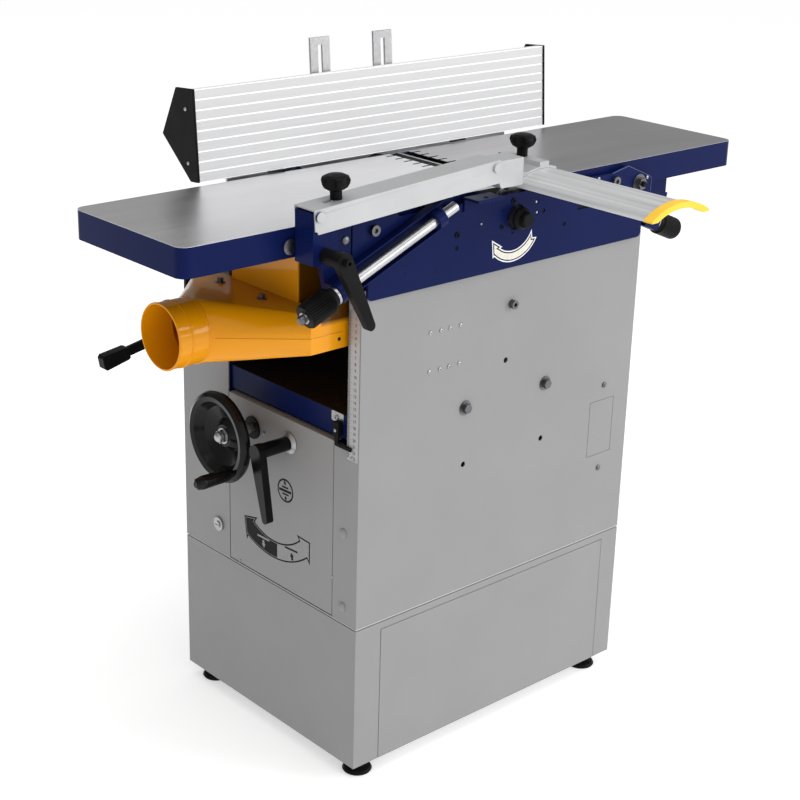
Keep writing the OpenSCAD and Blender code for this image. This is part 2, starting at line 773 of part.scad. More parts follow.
// One planing table in its own half plane: x runs from the mouth outwards
module half_table(reach, reach_depth) {
    plate_z0 = table_z - table_t;
    difference() {
        union() {
            difference() {
                linear_extrude(table_z) rounded_end(mouth_half, reach, table_front, reach_depth, corner_r);
                block([mouth_half - 1, table_front - 1, -1], [reach + 1, reach_depth + 1, skirt_z]);
                linear_extrude(plate_z0) rounded_end(mouth_half - 1, reach - skirt_t, table_front + skirt_t,
                    reach_depth - skirt_t, corner_r - skirt_t);
            }
            for (y = [table_front + 109, table_rear - 63]) block([70, y, skirt_z + 12], [reach - skirt_t, y + 9, plate_z0]);
            for (x = [0.35, 0.6, 0.85]) block([reach * x, table_front + 60, skirt_z + 12],
                [reach * x + 9, reach_depth - skirt_t, plate_z0]);
        }
        rod_y(table_front - 1, reach_depth + 1, 0, cutter_z, cutting_r + lip_play);
        for (i = [0 : 11]) translate([0, table_front + 13.5 + i * slot_pitch, plate_z0 - 1])
            block([mouth_half - 1, 0, 0], [mouth_half + slot_l, slot_w, table_t + 2]);
    }
}

module outfeed_table() {
    color("midnightblue") place() mirror([1, 0, 0]) half_table(outfeed_l, table_rear);
}

module infeed_table() {
    color("midnightblue") place() half_table(infeed_l, table_rear);
}

module slide_rod(top) {
    difference() {
        translate([0, 0, -top]) cylinder(h = rod_end + top, r = rod_r, $fn = round_fn);
        translate([0, 0, spindle_s - table_travel]) cylinder(h = rod_end, r = spindle_r + play, $fn = round_fn);
    }
}

module plain_rod() translate([0, 0, -12]) cylinder(h = rod_end + 32, r = rod_r, $fn = round_fn);

module slide_rods() {
    color("silver") place() {
        outfeed_axis(rod_y_out) slide_rod(rod_top_out);
        infeed_axis(rod_y_in) slide_rod(rod_top_in);
        outfeed_axis(rod_y_rear) plain_rod();
        infeed_axis(rod_y_rear) plain_rod();
    }
}

// A ring round the rod with a foot that runs to the plate it is bolted to
module ring_clamp(s, foot) {
    low = foot > 0 ? 0 : foot;
    high = foot > 0 ? foot : 0;
    difference() {
        union() {
            translate([0, 0, s]) cylinder(h = 16, r = 14, $fn = round_fn);
            translate([-10, low, s]) cube([20, high - low, 16]);
        }
        translate([0, 0, s - 1]) cylinder(h = 18, r = rod_r, $fn = round_fn);
    }
}

// The folded channel on the face of the side plate, with the rod's ring clamp in its upper end
module slide_channel(back) {
    ring_clamp(-8, back);
    difference() {
        translate([-23, back - channel_d, -24]) cube([40, channel_d, channel_l]);
        translate([-20, back - channel_d - 1, -25]) cube([34, channel_d - 2, channel_l + 2]);
    }
}

module rod_clamps() {
    color("navy") place() {
        outfeed_axis(rod_y_out) slide_channel(front_face - rod_y_out);
        for (s = [46, 102]) infeed_axis(rod_y_in) ring_clamp(s, -half_d - rod_y_in);
        for (s = [-8, 100]) {
            outfeed_axis(rod_y_rear) ring_clamp(s, throat_rear - rod_y_rear);
            infeed_axis(rod_y_rear) ring_clamp(s, throat_rear - rod_y_rear);
        }
        // The small shelf with a hole at the top of the side plate
        difference() {
            union() {
                block([-115, front_face - 32, plate_top + 6], [-61, front_face, plate_top + 10]);
                block([-115, front_face - 3, plate_top - 13], [-61, front_face, plate_top + 8]);
            }
            rod_z(plate_top + 5, plate_top + 11, -88, front_face - 20, 4);
        }
    }
}

// The collar round the rod, and the cheek between it and the table skirt, seen on the outfeed side.
// X and Z start at the upper end of the rod; the collar's web runs from the rod to the cheek.
module carrier_solid(y_rod, y0, y1, top) {
    web = 1 + (y0 > y_rod ? y0 - y_rod : y_rod - y1);
    difference() {
        union() {
            translate([0, y_rod, 0]) rotate([0, -90 - slide_angle, 0]) translate([0, 0, collar_s]) {
                cylinder(h = collar_l, r = collar_r, $fn = round_fn);
                translate([2 - collar_r, y0 > y_rod ? 0 : -web, 0]) cube([2 * collar_r - 4, web, collar_l - 0.5]);
            }
            prism_y(y0, y1) polygon([[-cheek_in, top], [-197.5, top], [-197.5, -27.5], [-203, -28], [-191, -76],
                [-185, -90], [-152, -79], [-cheek_in, -60]]);
        }
        translate([0, y_rod, 0]) rotate([0, -90 - slide_angle, 0]) translate([0, 0, collar_s - 1])
            cylinder(h = collar_l + 2, r = rod_r + play, $fn = round_fn);
    }
}

module outfeed_carrier() {
    color("navy") place() translate([out_x, 0, out_z]) {
        carrier_solid(rod_y_out, table_front - cheek_t, table_front, cheek_top - out_z);
        carrier_solid(rod_y_rear, table_rear, table_rear + cheek_t, cheek_top - out_z);
    }
}

module infeed_carrier() {
    color("navy") place() translate([in_x, 0, in_z]) mirror([1, 0, 0]) {
        carrier_solid(rod_y_in, table_front + skirt_t, rod_y_in - rod_r - 1, table_z - in_z - table_t);
        carrier_solid(rod_y_rear, table_rear, table_rear + cheek_t, cheek_top - in_z);
    }
}

module knurled_knob() {
    flutes = 30;
    difference() {
        union() {
            translate([0, 0, knob_s]) rotate_extrude($fn = fine_fn) polygon([[0, 0], [knob_r - 5, 0], [knob_r - 3, 6],
                [knob_r, 9], [knob_r, knob_l - 3], [knob_r - 2, knob_l], [spindle_r + 4, knob_l],
                [spindle_r + 4, knob_l - 5], [0, knob_l - 5]]);
            translate([0, 0, knob_s - 4]) cylinder(h = 4, r = 13, $fn = round_fn);
        }
        for (i = [0 : flutes - 1]) rotate([0, 0, i * 360 / flutes])
            translate([knob_r + 0.4, 0, knob_s + 12]) rotate([0, 0, 45]) translate([-1, -1, 0]) cube([2, 2, knob_l]);
    }
    translate([0, 0, spindle_s]) cylinder(h = knob_s - spindle_s, r = spindle_r, $fn = round_fn);
    translate([0, 0, knob_s + knob_l - 6]) cylinder(h = 16, r = spindle_r, $fn = round_fn);
    translate([0, 0, knob_s + knob_l - 5]) cylinder(h = 6, r = 9.5, $fn = 6);
}

module outfeed_knob() {
    color("#1a1a1a") place() outfeed_axis(rod_y_out) knurled_knob();
}

module infeed_knob() {
    color("#1a1a1a") place() infeed_axis(rod_y_in) knurled_knob();
}

module clamp_lever() {
    color("#1a1a1a") place() translate([lever_x, arm_front + arm_t + gap, lever_z]) rotate([90, 0, 0]) union() {
        translate([0, 0, gap]) cylinder(h = 32, r1 = 10.5, r2 = 12, $fn = round_fn);
        translate([0, 0, 32]) rotate([0, 0, lever_tilt]) lever_arm(lever_l, 13, 7, 12);
        translate([0, 0, 43]) cylinder(h = 3.5, r = 5, $fn = round_fn);
    }
}

module guard_bracket() {
    inner = arm_front + arm_t + gap;
    outer = arm_front + arm_w - arm_t - gap;
    top = pin_z + 5;
    low = skirt_z - 4;
    color("navy") place() difference() {
        union() {
            block([pin_x - 9, inner, low], [pin_x - 5, outer, top]);
            block([pin_x - 5, inner, low], [pin_x + 35, inner + 4, top]);
            block([pin_x - 5, outer - 4, low], [pin_x + 35, outer, top]);
            block([pin_x - 5, outer, low + 2], [pin_x + 35, table_front, low + 28]);
            rod_y(arm_front - 2.5, arm_front + arm_w + 0.8, pin_x, pin_z, pin_r);
            rod_y(arm_front - 3.5, arm_front - gap, pin_x, pin_z, 7);
            rod_y(outer, table_front, pin_x - 17, low + 21, 11);
        }
        block([pin_x + 20, inner - 1, top - 26], [pin_x + 41, outer - 4.5, top + 1]);
    }
}

// Arm frame: x runs along the arm from the left pin, z up from the pin
module arm_frame() translate([pin_x, 0, pin_z]) rotate([0, -arm_rise, 0]) children();

module guard_arm() {
    top = pin_drop;
    color("gainsboro") place() arm_frame() difference() {
        block([-pin_end, arm_front, top - arm_h], [arm_span + pin_end, arm_front + arm_w, top]);
        block([-pin_end - 1, arm_front + arm_t, top - arm_h - 1],
            [arm_span + pin_end + 1, arm_front + arm_w - arm_t, top - arm_t]);
        for (x = [0, arm_span]) rod_y(arm_front - 1, arm_front + arm_w + 1, x, 0, pin_r + play);
        block([arm_knob_s - 24, arm_mid - 4.5, top - 3], [arm_knob_s + 8, arm_mid + 4.5, top + 1]);
        rod_y(arm_front - 1, arm_front + arm_w + 1, -pin_end, top - arm_h, 5);
    }
}

module lobed_knob() {
    lobes = 5;
    head = 21;
    translate([0, 0, 12]) difference() {
        rotate_extrude($fn = fine_fn) polygon([[0, 0], [9, 0], [17, 5], [head - 1, 10], [head, 14], [head - 2, 19],
            [head - 8, 22], [0, 23]]);
        for (i = [0 : lobes - 1]) rotate([0, 0, i * 360 / lobes]) translate([head + 4, 0, -1])
            cylinder(h = 26, r = 9, $fn = round_fn);
    }
    cylinder(h = 13, r = 8.5, $fn = round_fn);
}

module arm_knob() {
    color("#1a1a1a") place() arm_frame() translate([arm_knob_s, arm_mid, pin_drop + gap]) union() {
        lobed_knob();
        translate([0, 0, -16]) cylinder(h = 17, r = 4, $fn = round_fn);
    }
}

// The arch section of the guard, between two radii
module arch(t0, t1, half) {
    intersection() {
        difference() {
            translate([guard_x, arch_z]) circle(r = arch_r + t1, $fn = 96);
            translate([guard_x, arch_z]) circle(r = arch_r + t0, $fn = 96);
        }
        translate([guard_x - half, guard_z]) square([2 * half, guard_rise + 12]);
    }
}

module guard_holder() {
    inner = arm_front + arm_t + gap;
    outer = arm_front + arm_w - arm_t - gap;
    saddle_front = guard_rear - saddle_l;
    crown = guard_z + guard_rise + 1.5;
    left = guard_x - guard_w / 2;
    color("gainsboro") place() difference() {
        union() {
            prism_y(saddle_front, guard_rear) difference() {
                arch(0.3, 3.5, guard_w / 2 + 4);
                translate([guard_x + 30, guard_z - 1]) square([60, 60]);
            }
            block([knob_x - rail_w / 2, saddle_front, crown], [knob_x + rail_w / 2, guard_rear, crown + 9]);
            block([left - 12, saddle_front + 2, guard_z + 6], [left - 1, outer, right_pin_z + 6]);
            block([left - 1, saddle_front + 2, guard_z + 14], [left + 36, outer, guard_z + 18]);
            prism_y(inner, outer) polygon([[right_pin_x, right_pin_z - 8], [right_pin_x, right_pin_z + 8],
                [left - 4, right_pin_z + 8], [left - 4, guard_z + 8], [right_pin_x + 14, guard_z + 8]]);
            rod_y(inner, outer, right_pin_x, right_pin_z, 8);
            rod_y(arm_front - 2.5, arm_front + arm_w + 2.5, right_pin_x, right_pin_z, pin_r);
            rod_y(arm_front - 3.5, arm_front - gap, right_pin_x, right_pin_z, 7);
            rod_y(arm_front + arm_w + gap, arm_front + arm_w + 3.5, right_pin_x, right_pin_z, 7);
        }
        prism_y(saddle_front - 1, outer + 2) arch(-arch_r, 0.3, guard_w / 2 + 1);
    }
}

module guard_knob() {
    color("#1a1a1a") place() translate([knob_x, guard_rear - 42, guard_z + guard_rise + 10.5 + gap]) lobed_knob();
}

module cutter_guard() {
    color("gainsboro") place() union() {
        prism_y(guard_tip, guard_rear) arch(-guard_t, 0, guard_w / 2);
        prism_y(guard_tip + 13, guard_rear) for (x = [-1, 1]) translate([guard_x + x * 18 - 1, guard_z + guard_rise - 9])
            square([2, 5]);
    }
}

module guard_end_cap() {
    color("gold") place() difference() {
        prism_y(guard_tip - cap_l + 12, guard_tip + 12) arch(-guard_t - 3, 3, guard_w / 2 + 1);
        prism_y(guard_tip, guard_tip + 13) arch(-guard_t - 0.2, 0.2, guard_w / 2 + 0.2);
    }
}

// Fence frame: y runs back from the face, z up along it
module fence_frame() translate([fence_mid, fence_y, fence_z]) rotate([-fence_lean, 0, 0]) children();

module fence_outline() {
    bands = 9;
    difference() {
        union() {
            square([fence_t, fence_h]);
            translate([fence_t - 1, 30]) square([back_depth - fence_t + 1, 40]);
            translate([fence_t - 1, 84]) square([back_depth - fence_t + 1, 40]);
            translate([0, fence_h - 3]) square([14, 3]);
        }
        for (i = [1 : bands - 1]) translate([-1, i * fence_h / bands - 1]) square([1.8, 2]);
        for (z = [50, 104]) {
            translate([back_depth - 4, z - 5]) square([5, 10]);
            translate([fence_t + 2, z - 9]) square([13, 18]);
        }
    }
}

module fence() {
    color("gainsboro") place() fence_frame() prism_x(-fence_l / 2, fence_l / 2) fence_outline();
}

module fence_end_caps() {
    color("#1a1a1a") place() fence_frame() for (side = [-1, 1])
        prism_x(side > 0 ? fence_l / 2 : -fence_l / 2 - 4, side > 0 ? fence_l / 2 + 4 : -fence_l / 2)
            polygon([[-1.5, 0], [-1.5, fence_h + 1], [42, fence_h + 1], [84, 66], [18, 0]]);
}

module strap(x) {
    barrel_y = hinge_y - fence_y;
    difference() {
        union() {
            fence_frame() translate([x - fence_mid, 0, 0])
                block([-strap_w / 2, back_depth, 24], [strap_w / 2, back_depth + strap_t, strap_top]);
            rod_x(x - strap_w / 2 + 1, x + strap_w / 2 - 1, hinge_y, hinge_z, 8);
        }
        fence_frame() translate([x - fence_mid, 0, 0])
            block([-4.5, back_depth - 1, 60], [4.5, back_depth + strap_t + 1, strap_top - 12]);
        rod_x(x - strap_w, x + strap_w, hinge_y, hinge_z, pin_r + play);
    }
}

module fence_straps() {
    color("gray") place() for (x = strap_x) strap(x);
}

module fence_carriage() {
    cross_low = hinge_y - 12;
    color("dimgray") place() union() {
        block([bar_x - bar_w / 2, cross_low, bar_z], [bar_x + bar_w / 2, rail_rear, bar_z + bar_t]);
        block([strap_x[0] - strap_w / 2 - 10, cross_low, bar_z - 1], [strap_x[1] + strap_w / 2 + 10, cross_low + 22, bar_z + 10]);
        for (x = strap_x, side = [-1, 1]) translate([x + side * (strap_w / 2 + 4.5) - 4, 0, 0]) prism_x(0, 8) hull() {
            translate([hinge_y, hinge_z]) circle(r = 8, $fn = round_fn);
            translate([hinge_y - 8, bar_z + 9]) square([18, 1]);
        }
        for (x = strap_x) rod_x(x - strap_w / 2 - 8, x + strap_w / 2 + 8, hinge_y, hinge_z, pin_r);
    }
}

module fence_guide() {
    y0 = throat_rear + plate_t;
    color("midnightblue") place() difference() {
        union() {
            block([bar_x - 22, y0, plate_top - 50], [bar_x + 22, y0 + 12, bar_z]);
            block([bar_x - 22, y0, bar_z - 10], [bar_x + 22, y0 + 56, bar_z + bar_t + 10]);
        }
        block([bar_x - bar_w / 2 - gap, y0 - 1, bar_z - gap], [bar_x + bar_w / 2 + gap, y0 + 57, bar_z + bar_t + gap]);
        rod_z(bar_z + bar_t, bar_z + bar_t + 11, bar_x, y0 + 28, 4 + play);
    }
}

module fence_knob() {
    y0 = throat_rear + plate_t + 28;
    color("#1a1a1a") place() union() {
        translate([bar_x, y0, bar_z + bar_t + 10 + gap]) lobed_knob();
        rod_z(bar_z + bar_t + 0.6, bar_z + bar_t + 11, bar_x, y0, 4);
    }
}

module feed_lever() {
    y0 = half_d + 5;
    y1 = y0 + 6;
    color("#1a1a1a") place() union() {
        translate([feed_x, 0, feed_z]) rotate([0, -feed_drop, 0]) {
            block([-feed_reach + 42, y0, -8], [0, y1, 8]);
            translate([-feed_reach - 4, 0, 0]) prism_y(y0 - 5, y1 + 5) polygon([[0, -9], [4, -13], [46, -11], [50, -9],
                [50, 9], [46, 11], [4, 13], [0, 9]]);
        }
        block([feed_x - 8, y0, feed_z], [feed_x + 8, y1, feed_z + 130]);
        rod_y(y0, y1, feed_x, feed_z, 14);
        rod_y(half_d + gap, y1 + 4, feed_x, feed_z, 9);
    }
}

module hex_bolt(r, head) {
    cylinder(h = 1.5, r = r * 1.5, $fn = round_fn);
    translate([0, 0, 1.5]) cylinder(h = head, r = r, $fn = 6);
}

module facing_front(x, y, z) translate([x, y, z]) rotate([90, 0, 0]) children();
module facing_left(y, z, x) translate([x, y, z]) rotate([0, -90, 0]) children();

module dome_head(r) {
    rotate_extrude($fn = 32) polygon([[0, 0], [r, 0], [r * 0.9, r * 0.35], [r * 0.5, r * 0.6], [0, r * 0.7]]);
}

module socket_head(r, h) {
    difference() {
        cylinder(h = h, r = r, $fn = round_fn);
        translate([0, 0, h / 2]) cylinder(h = h, r = r * 0.5, $fn = 6);
    }
}

module machine_screws() {
    color("silver") place() {
        for (x = [-88, 92]) facing_front(x, -half_d, plate_z - 214) hex_bolt(8, 7);
        facing_front(4.6, -half_d, plate_z - 62) socket_head(7, 9);
        for (z = [knock_z - 26, knock_z + knock_h + 26]) facing_front(knock_x + 32, -half_d, z) dome_head(5);
        for (z = [plinth_top + 27, plinth_top + 153]) facing_left(-half_d + 33, z, -half_l) dome_head(6.5);
        for (p = [[8 - plate_half, -24], [plate_half - 74, -25.5]])
            facing_front(p[0], front_face, table_z + p[1]) socket_head(8, 6);
        facing_front(plate_half - 14, front_face, table_z - 37) hex_bolt(10, 8);
        for (y = [outlet_y - 57, outlet_y + 46]) translate([-hood_left - 9, y, hood_top + 10 * flare_rise])
            rotate([0, atan(flare_rise), 0]) hex_bolt(5, 6);
    }
}

module switch_box() {
    x = half_l;
    color("#303030") place() difference() {
        block([x, switch_y - 35, plinth_top + 150], [x + 42, switch_y + 35, plinth_top + 250]);
        rod_x(x + 20, x + 43, switch_y, plinth_top + 222, 13 + gap);
        rod_x(x + 20, x + 43, switch_y, plinth_top + 180, 13 + gap);
    }
}

module push_button(z, proud) {
    rod_x(half_l + 26, half_l + 42 + proud, switch_y, z, 13);
}

module start_button() {
    color("green") place() push_button(plinth_top + 222, 4);
}

module stop_button() {
    color("red") place() push_button(plinth_top + 180, 7);
}

base_plinth();
plinth_front_panel();
levelling_feet();
cabinet_front_panel();
left_end_panel();
right_end_panel();
drive_cover();
cover_latch();
front_side_plate();
rear_side_plate();
spindle_bearings();
cutter_block();
cutter_knives();
spindle_cap();
motor();
motor_pulley();
drive_belt();
infeed_roller();
outfeed_roller();
kickback_shaft();
kickback_fingers();
thicknesser_table();
scale_pointer();
ruler_scale();
lift_housing();
lift_screw();
handwheel_shaft();
handwheel();
handwheel_grip();
shaft_collar();
lock_washer();
lock_lever();
dust_hood();
outfeed_table();
infeed_table();
slide_rods();
rod_clamps();
outfeed_carrier();
infeed_carrier();
outfeed_knob();
infeed_knob();
clamp_lever();
guard_bracket();
guard_arm();
arm_knob();
guard_holder();
guard_knob();
cutter_guard();
guard_end_cap();
fence();
fence_end_caps();
fence_straps();
fence_carriage();
fence_guide();
fence_knob();
feed_lever();
machine_screws();
switch_box();
start_button();
stop_button();
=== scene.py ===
# %% [markdown]
# # Combination planer thicknesser
# The machine is already built as an exact CAD model: sixty named parts that ride on moving bodies.
# This notebook dresses that model: it sets the camera, gives every part a worked material, and adds the
# small things a CAD file leaves out, such as marks, rivets, seams, glides and scale lines.

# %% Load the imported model
import math
import bmesh
import bpy
from mathutils import Matrix, Vector


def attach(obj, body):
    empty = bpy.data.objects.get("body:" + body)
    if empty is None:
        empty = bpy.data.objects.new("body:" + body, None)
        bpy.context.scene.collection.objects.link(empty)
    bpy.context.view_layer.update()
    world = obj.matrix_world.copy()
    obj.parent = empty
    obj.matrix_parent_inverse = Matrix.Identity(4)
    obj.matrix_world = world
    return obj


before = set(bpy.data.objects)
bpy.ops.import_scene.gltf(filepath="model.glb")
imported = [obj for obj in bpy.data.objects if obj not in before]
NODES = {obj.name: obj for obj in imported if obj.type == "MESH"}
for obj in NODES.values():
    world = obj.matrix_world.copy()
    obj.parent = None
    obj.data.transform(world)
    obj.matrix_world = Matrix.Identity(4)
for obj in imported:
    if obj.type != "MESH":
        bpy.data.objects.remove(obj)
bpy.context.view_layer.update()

# %% [markdown]
# The machine was measured in its own millimetres, with the zero under the middle of the base. The packed
# model has its zero under the middle of the whole bounding box, so one small helper turns machine
# millimetres into frame metres. Every piece below is placed with it.

# %% Machine millimetres to frame metres
SHIFT = (35.0, 90.5, 0.0)


def at(x, y, z):
    return Vector(((x + SHIFT[0]) / 1000, (y + SHIFT[1]) / 1000, (z + SHIFT[2]) / 1000))


TABLE_Z = 940.0
FRONT_Y, REAR_Y = -225.0, 225.0
LEFT_X, RIGHT_X = -305.0, 305.0
PLINTH_TOP = 280.0
print("front of the cabinet at", tuple(round(v, 4) for v in at(0, FRONT_Y, 0)))

# %% [markdown]
# The camera was solved from the edges of the cabinet in the photograph: a 75 mm lens, standing to the left
# of the machine and looking down at about 21 degrees. Solving it first means every piece can be compared
# with the photograph at the same place in the frame.

# %% Camera
AZIMUTH, ELEVATION, ROLL = math.radians(-42.4614), math.radians(20.9505), math.radians(1.6150)
LENS, EYE = 75.10, (-1801.2, -1946.5, 1535.8)
away = Vector((math.sin(AZIMUTH), -math.cos(AZIMUTH), 0.0))
back = away * math.cos(ELEVATION) + Vector((0, 0, 1)) * math.sin(ELEVATION)
right = (-back).cross(Vector((0, 0, 1))).normalized()
up = right.cross(-back)
right_r = right * math.cos(ROLL) + up * math.sin(ROLL)
up_r = up * math.cos(ROLL) - right * math.sin(ROLL)
camera_data = bpy.data.cameras.new("camera")
camera_data.sensor_width = 36.0
camera_data.lens = LENS
camera_data.clip_start, camera_data.clip_end = 0.1, 40.0
camera = bpy.data.objects.new("camera", camera_data)
bpy.context.scene.collection.objects.link(camera)
turn = Matrix((right_r, up_r, back)).transposed().to_4x4()
camera.matrix_world = Matrix.Translation(at(*EYE)) @ turn
bpy.context.scene.camera = camera
print("camera at", tuple(round(v, 3) for v in camera.location))

# %% [markdown]
# The machine stands on a roll of plain white paper that runs out of the picture on every side. The paper
# gives off a little light of its own, so that it stays white round the feet.

# %% Floor
FLOOR_HALF, WHITE = 12, (1.0, 1.0, 1.0, 1.0)
corners = [(x * FLOOR_HALF, y * FLOOR_HALF, 0) for x, y in ((-1, -1), (1, -1), (1, 1), (-1, 1))]
floor_mesh = bpy.data.meshes.new("floor")
floor_mesh.from_pydata(corners, [], [(0, 1, 2, 3)])
floor = bpy.data.objects.new("floor", floor_mesh)
bpy.context.scene.collection.objects.link(floor)
paper = bpy.data.materials.new("white_paper")
paper.use_nodes = True
for title, value in (("Base Color", (0.90, 0.90, 0.90, 1.0)), ("Roughness", 0.9), ("Emission Color", WHITE),
                     ("Emission Strength", 0.42)):
    paper.node_tree.nodes["Principled BSDF"].inputs[title].default_value = value
floor.data.materials.append(paper)
print("floor:", 2 * FLOOR_HALF, "m square")

# %% [markdown]
# A studio photograph of a machine like this has wide soft lamps: the front is the lit side, the end panel is
# in half shade, and the far side of the room is darker, which is why the ground table top looks dark where it
# mirrors that side. The world below is bright behind the camera and falls off towards the far side, while the
# camera itself sees it as plain white paper.

# %% Light
def join(tree, *pairs):
    for source, target in pairs:
        tree.links.new(source, target)


FAR_SIDE = (-0.10, 0.99, -0.05)
world = bpy.data.worlds.new("studio")
bpy.context.scene.world = world
bpy.context.scene.view_settings.view_transform = "Standard"
world.use_nodes = True
sky = world.node_tree
room, screen = sky.nodes["Background"], sky.nodes.new("ShaderNodeBackground")
coords, towards = sky.nodes.new("ShaderNodeTexCoord"), sky.nodes.new("ShaderNodeVectorMath")
towards.operation = "DOT_PRODUCT"
towards.inputs[1].default_value = FAR_SIDE
fall = sky.nodes.new("ShaderNodeMapRange")
fall.interpolation_type = "SMOOTHSTEP"
for title, value in (("From Min", -0.8), ("From Max", 0.75), ("To Min", 0.95), ("To Max", 0.30)):
    fall.inputs[title].default_value = value
sight, choose = sky.nodes.new("ShaderNodeLightPath"), sky.nodes.new("ShaderNodeMixShader")
join(sky, (coords.outputs["Generated"], towards.inputs[0]), (towards.outputs["Value"], fall.inputs["Value"]),
          (fall.outputs["Result"], room.inputs["Strength"]))
room.inputs["Color"].default_value = screen.inputs["Color"].default_value = WHITE
join(sky, (sight.outputs["Is Camera Ray"], choose.inputs["Fac"]), (room.outputs["Background"], choose.inputs[1]),
          (screen.outputs["Background"], choose.inputs[2]),
          (choose.outputs["Shader"], sky.nodes["World Output"].inputs["Surface"]))
LAMP_AIM = (0, 0, 0.6)


def area_lamp(name, place, size, power):
    data = bpy.data.lights.new(name, "AREA")
    data.size = size
    data.energy = power
    lamp = bpy.data.objects.new(name, data)
    bpy.context.scene.collection.objects.link(lamp)
    lamp.location = place
    lamp.rotation_mode = "QUATERNION"
    lamp.rotation_quaternion = (Vector(LAMP_AIM) - Vector(place)).to_track_quat("-Z", "Y")


area_lamp("key", (2.6, -3.6, 2.2), 2.2, 72)
area_lamp("top", (-0.4, -0.4, 3.6), 3.0, 38)
print("lamps:", len(bpy.data.lights))

# %% [markdown]
# Every material here is built the same way: start from a new node tree, read Object coordinates so that the
# pattern stays fixed to the piece, and let noise drive colour, roughness and a little bump. The first helpers
# make the tree and read the place on the piece, by itself, by its three axes or as noise.

# %% Helpers that read the place
def new_finish(name):
    finish = bpy.data.materials.new(name)
    finish.use_nodes = True
    return finish, finish.node_tree, finish.node_tree.nodes["Principled BSDF"]


def stretched(tree, scale=(1.0, 1.0, 1.0)):
    coords = tree.nodes.new("ShaderNodeTexCoord")
    mapping = tree.nodes.new("ShaderNodeMapping")
    mapping.inputs["Scale"].default_value = scale
    tree.links.new(coords.outputs["Object"], mapping.inputs["Vector"])
    return mapping.outputs["Vector"]


def axes(tree):
    split = tree.nodes.new("ShaderNodeSeparateXYZ")
    tree.links.new(stretched(tree), split.inputs["Vector"])
    return split.outputs


def noise(tree, vector, scale, detail):
    node = tree.nodes.new("ShaderNodeTexNoise")
    node.inputs["Scale"].default_value, node.inputs["Detail"].default_value = scale, detail
    tree.links.new(vector, node.inputs["Vector"])
    return node.outputs["Fac"]


print("helpers read Object coordinates")

# %% [markdown]
# The second helpers turn what was read into colour, numbers and bump. Noise stays near the middle of 0 to 1,
# so it is spread from there over the whole range that a finish asks for.

# %% Helpers that colour and shade
NOISE_LOW, NOISE_HIGH = 0.3, 0.7


def ramp(tree, factor, low, high):
    node = tree.nodes.new("ShaderNodeValToRGB")
    for stop, position, colour in zip(node.color_ramp.elements, (NOISE_LOW, NOISE_HIGH), (low, high)):
        stop.position, stop.color = position, (*colour, 1.0)
    tree.links.new(factor, node.inputs["Fac"])
    return node.outputs["Color"]


def spread(tree, factor, low, high, start=NOISE_LOW, stop=NOISE_HIGH):
    node = tree.nodes.new("ShaderNodeMapRange")
    for title, value in (("From Min", start), ("From Max", stop), ("To Min", low), ("To Max", high)):
        node.inputs[title].default_value = value
    tree.links.new(factor, node.inputs["Value"])
    return node.outputs["Result"]


def math_node(tree, operation, *values):
    node = tree.nodes.new("ShaderNodeMath")
    node.operation = operation
    for socket, value in zip(node.inputs, values):
        if isinstance(value, (int, float)):
            socket.default_value = value
        else:
            tree.links.new(value, socket)
    return node.outputs["Value"]


def mixed(tree, factor, first, second):
    """The first colour where the factor is 0 and the second where it is 1; each a socket or three numbers."""
    node = tree.nodes.new("ShaderNodeMix")
    node.data_type = "RGBA"
    tree.links.new(factor, node.inputs["Factor"])
    for title, colour in (("A", first), ("B", second)):
        if isinstance(colour, tuple):
            node.inputs[title].default_value = (*colour, 1.0)
        else:
            tree.links.new(colour, node.inputs[title])
    return node.outputs["Result"]


def bump(tree, shader, height, strength, depth):
    node = tree.nodes.new("ShaderNodeBump")
    node.inputs["Strength"].default_value, node.inputs["Distance"].default_value = strength, depth
    join(tree, (height, node.inputs["Height"]), (node.outputs["Normal"], shader.inputs["Normal"]))


print("noise is spread from", NOISE_LOW, "to", NOISE_HIGH)

# %% [markdown]
# The sheet metal is powder coated: an even colour, a soft sheen and a fine orange-peel skin. Cast and
# welded brackets get a harder gloss coat. One function makes both, with the colour, the gloss and the
# size of the orange peel as its inputs.

# %% Coated sheet metal
def coated(name, light, dark, rough, peel=900.0, shine=0.25, lacquer=0.0):
    finish, tree, shader = new_finish(name)
    place = stretched(tree)
    cloudy = noise(tree, place, 7.0, 4.0)
    tree.links.new(ramp(tree, cloudy, dark, light), shader.inputs["Base Color"])
    worn = noise(tree, place, 22.0, 3.0)
    tree.links.new(spread(tree, worn, rough - 0.05, rough + 0.05), shader.inputs["Roughness"])
    shader.inputs["Specular IOR Level"].default_value = shine
    shader.inputs["Coat Weight"].default_value = lacquer
    shader.inputs["Coat Roughness"].default_value = 0.05
    bump(tree, shader, noise(tree, place, peel, 2.0), 0.12, 0.0004)
    return finish


BLUE_PAINT = (0.0040, 0.0095, 0.066), (0.0032, 0.0078, 0.056)
ORANGE_PAINT = (0.84, 0.33, 0.002), (0.79, 0.305, 0.0015)
GREY = coated("grey_powder_coat", (0.278, 0.278, 0.281), (0.264, 0.264, 0.267), 0.42, shine=0.20)
BLUE = coated("blue_gloss", *BLUE_PAINT, 0.32, 500.0, 0.06)
ORANGE = coated("orange_gloss", *ORANGE_PAINT, 0.20, 500.0, 0.10, lacquer=0.35)
BLACK_PAINT = coated("black_satin", (0.006, 0.006, 0.0065), (0.004, 0.004, 0.0045), 0.40, 700.0, 0.08)
print("coats:", GREY.name, BLUE.name, ORANGE.name, BLACK_PAINT.name)

# %% [markdown]
# The side of the hood's cover close to the cutter, under the tables, is painted far darker and browner than
# the flare: painted shade. A mask on the object's X and Z finds that side: both steps have to be up at once.

# %% Painted shade on the side of the hood's cover
COVER_SIDE_X, COVER_FOOT_Z = -0.318, 0.772


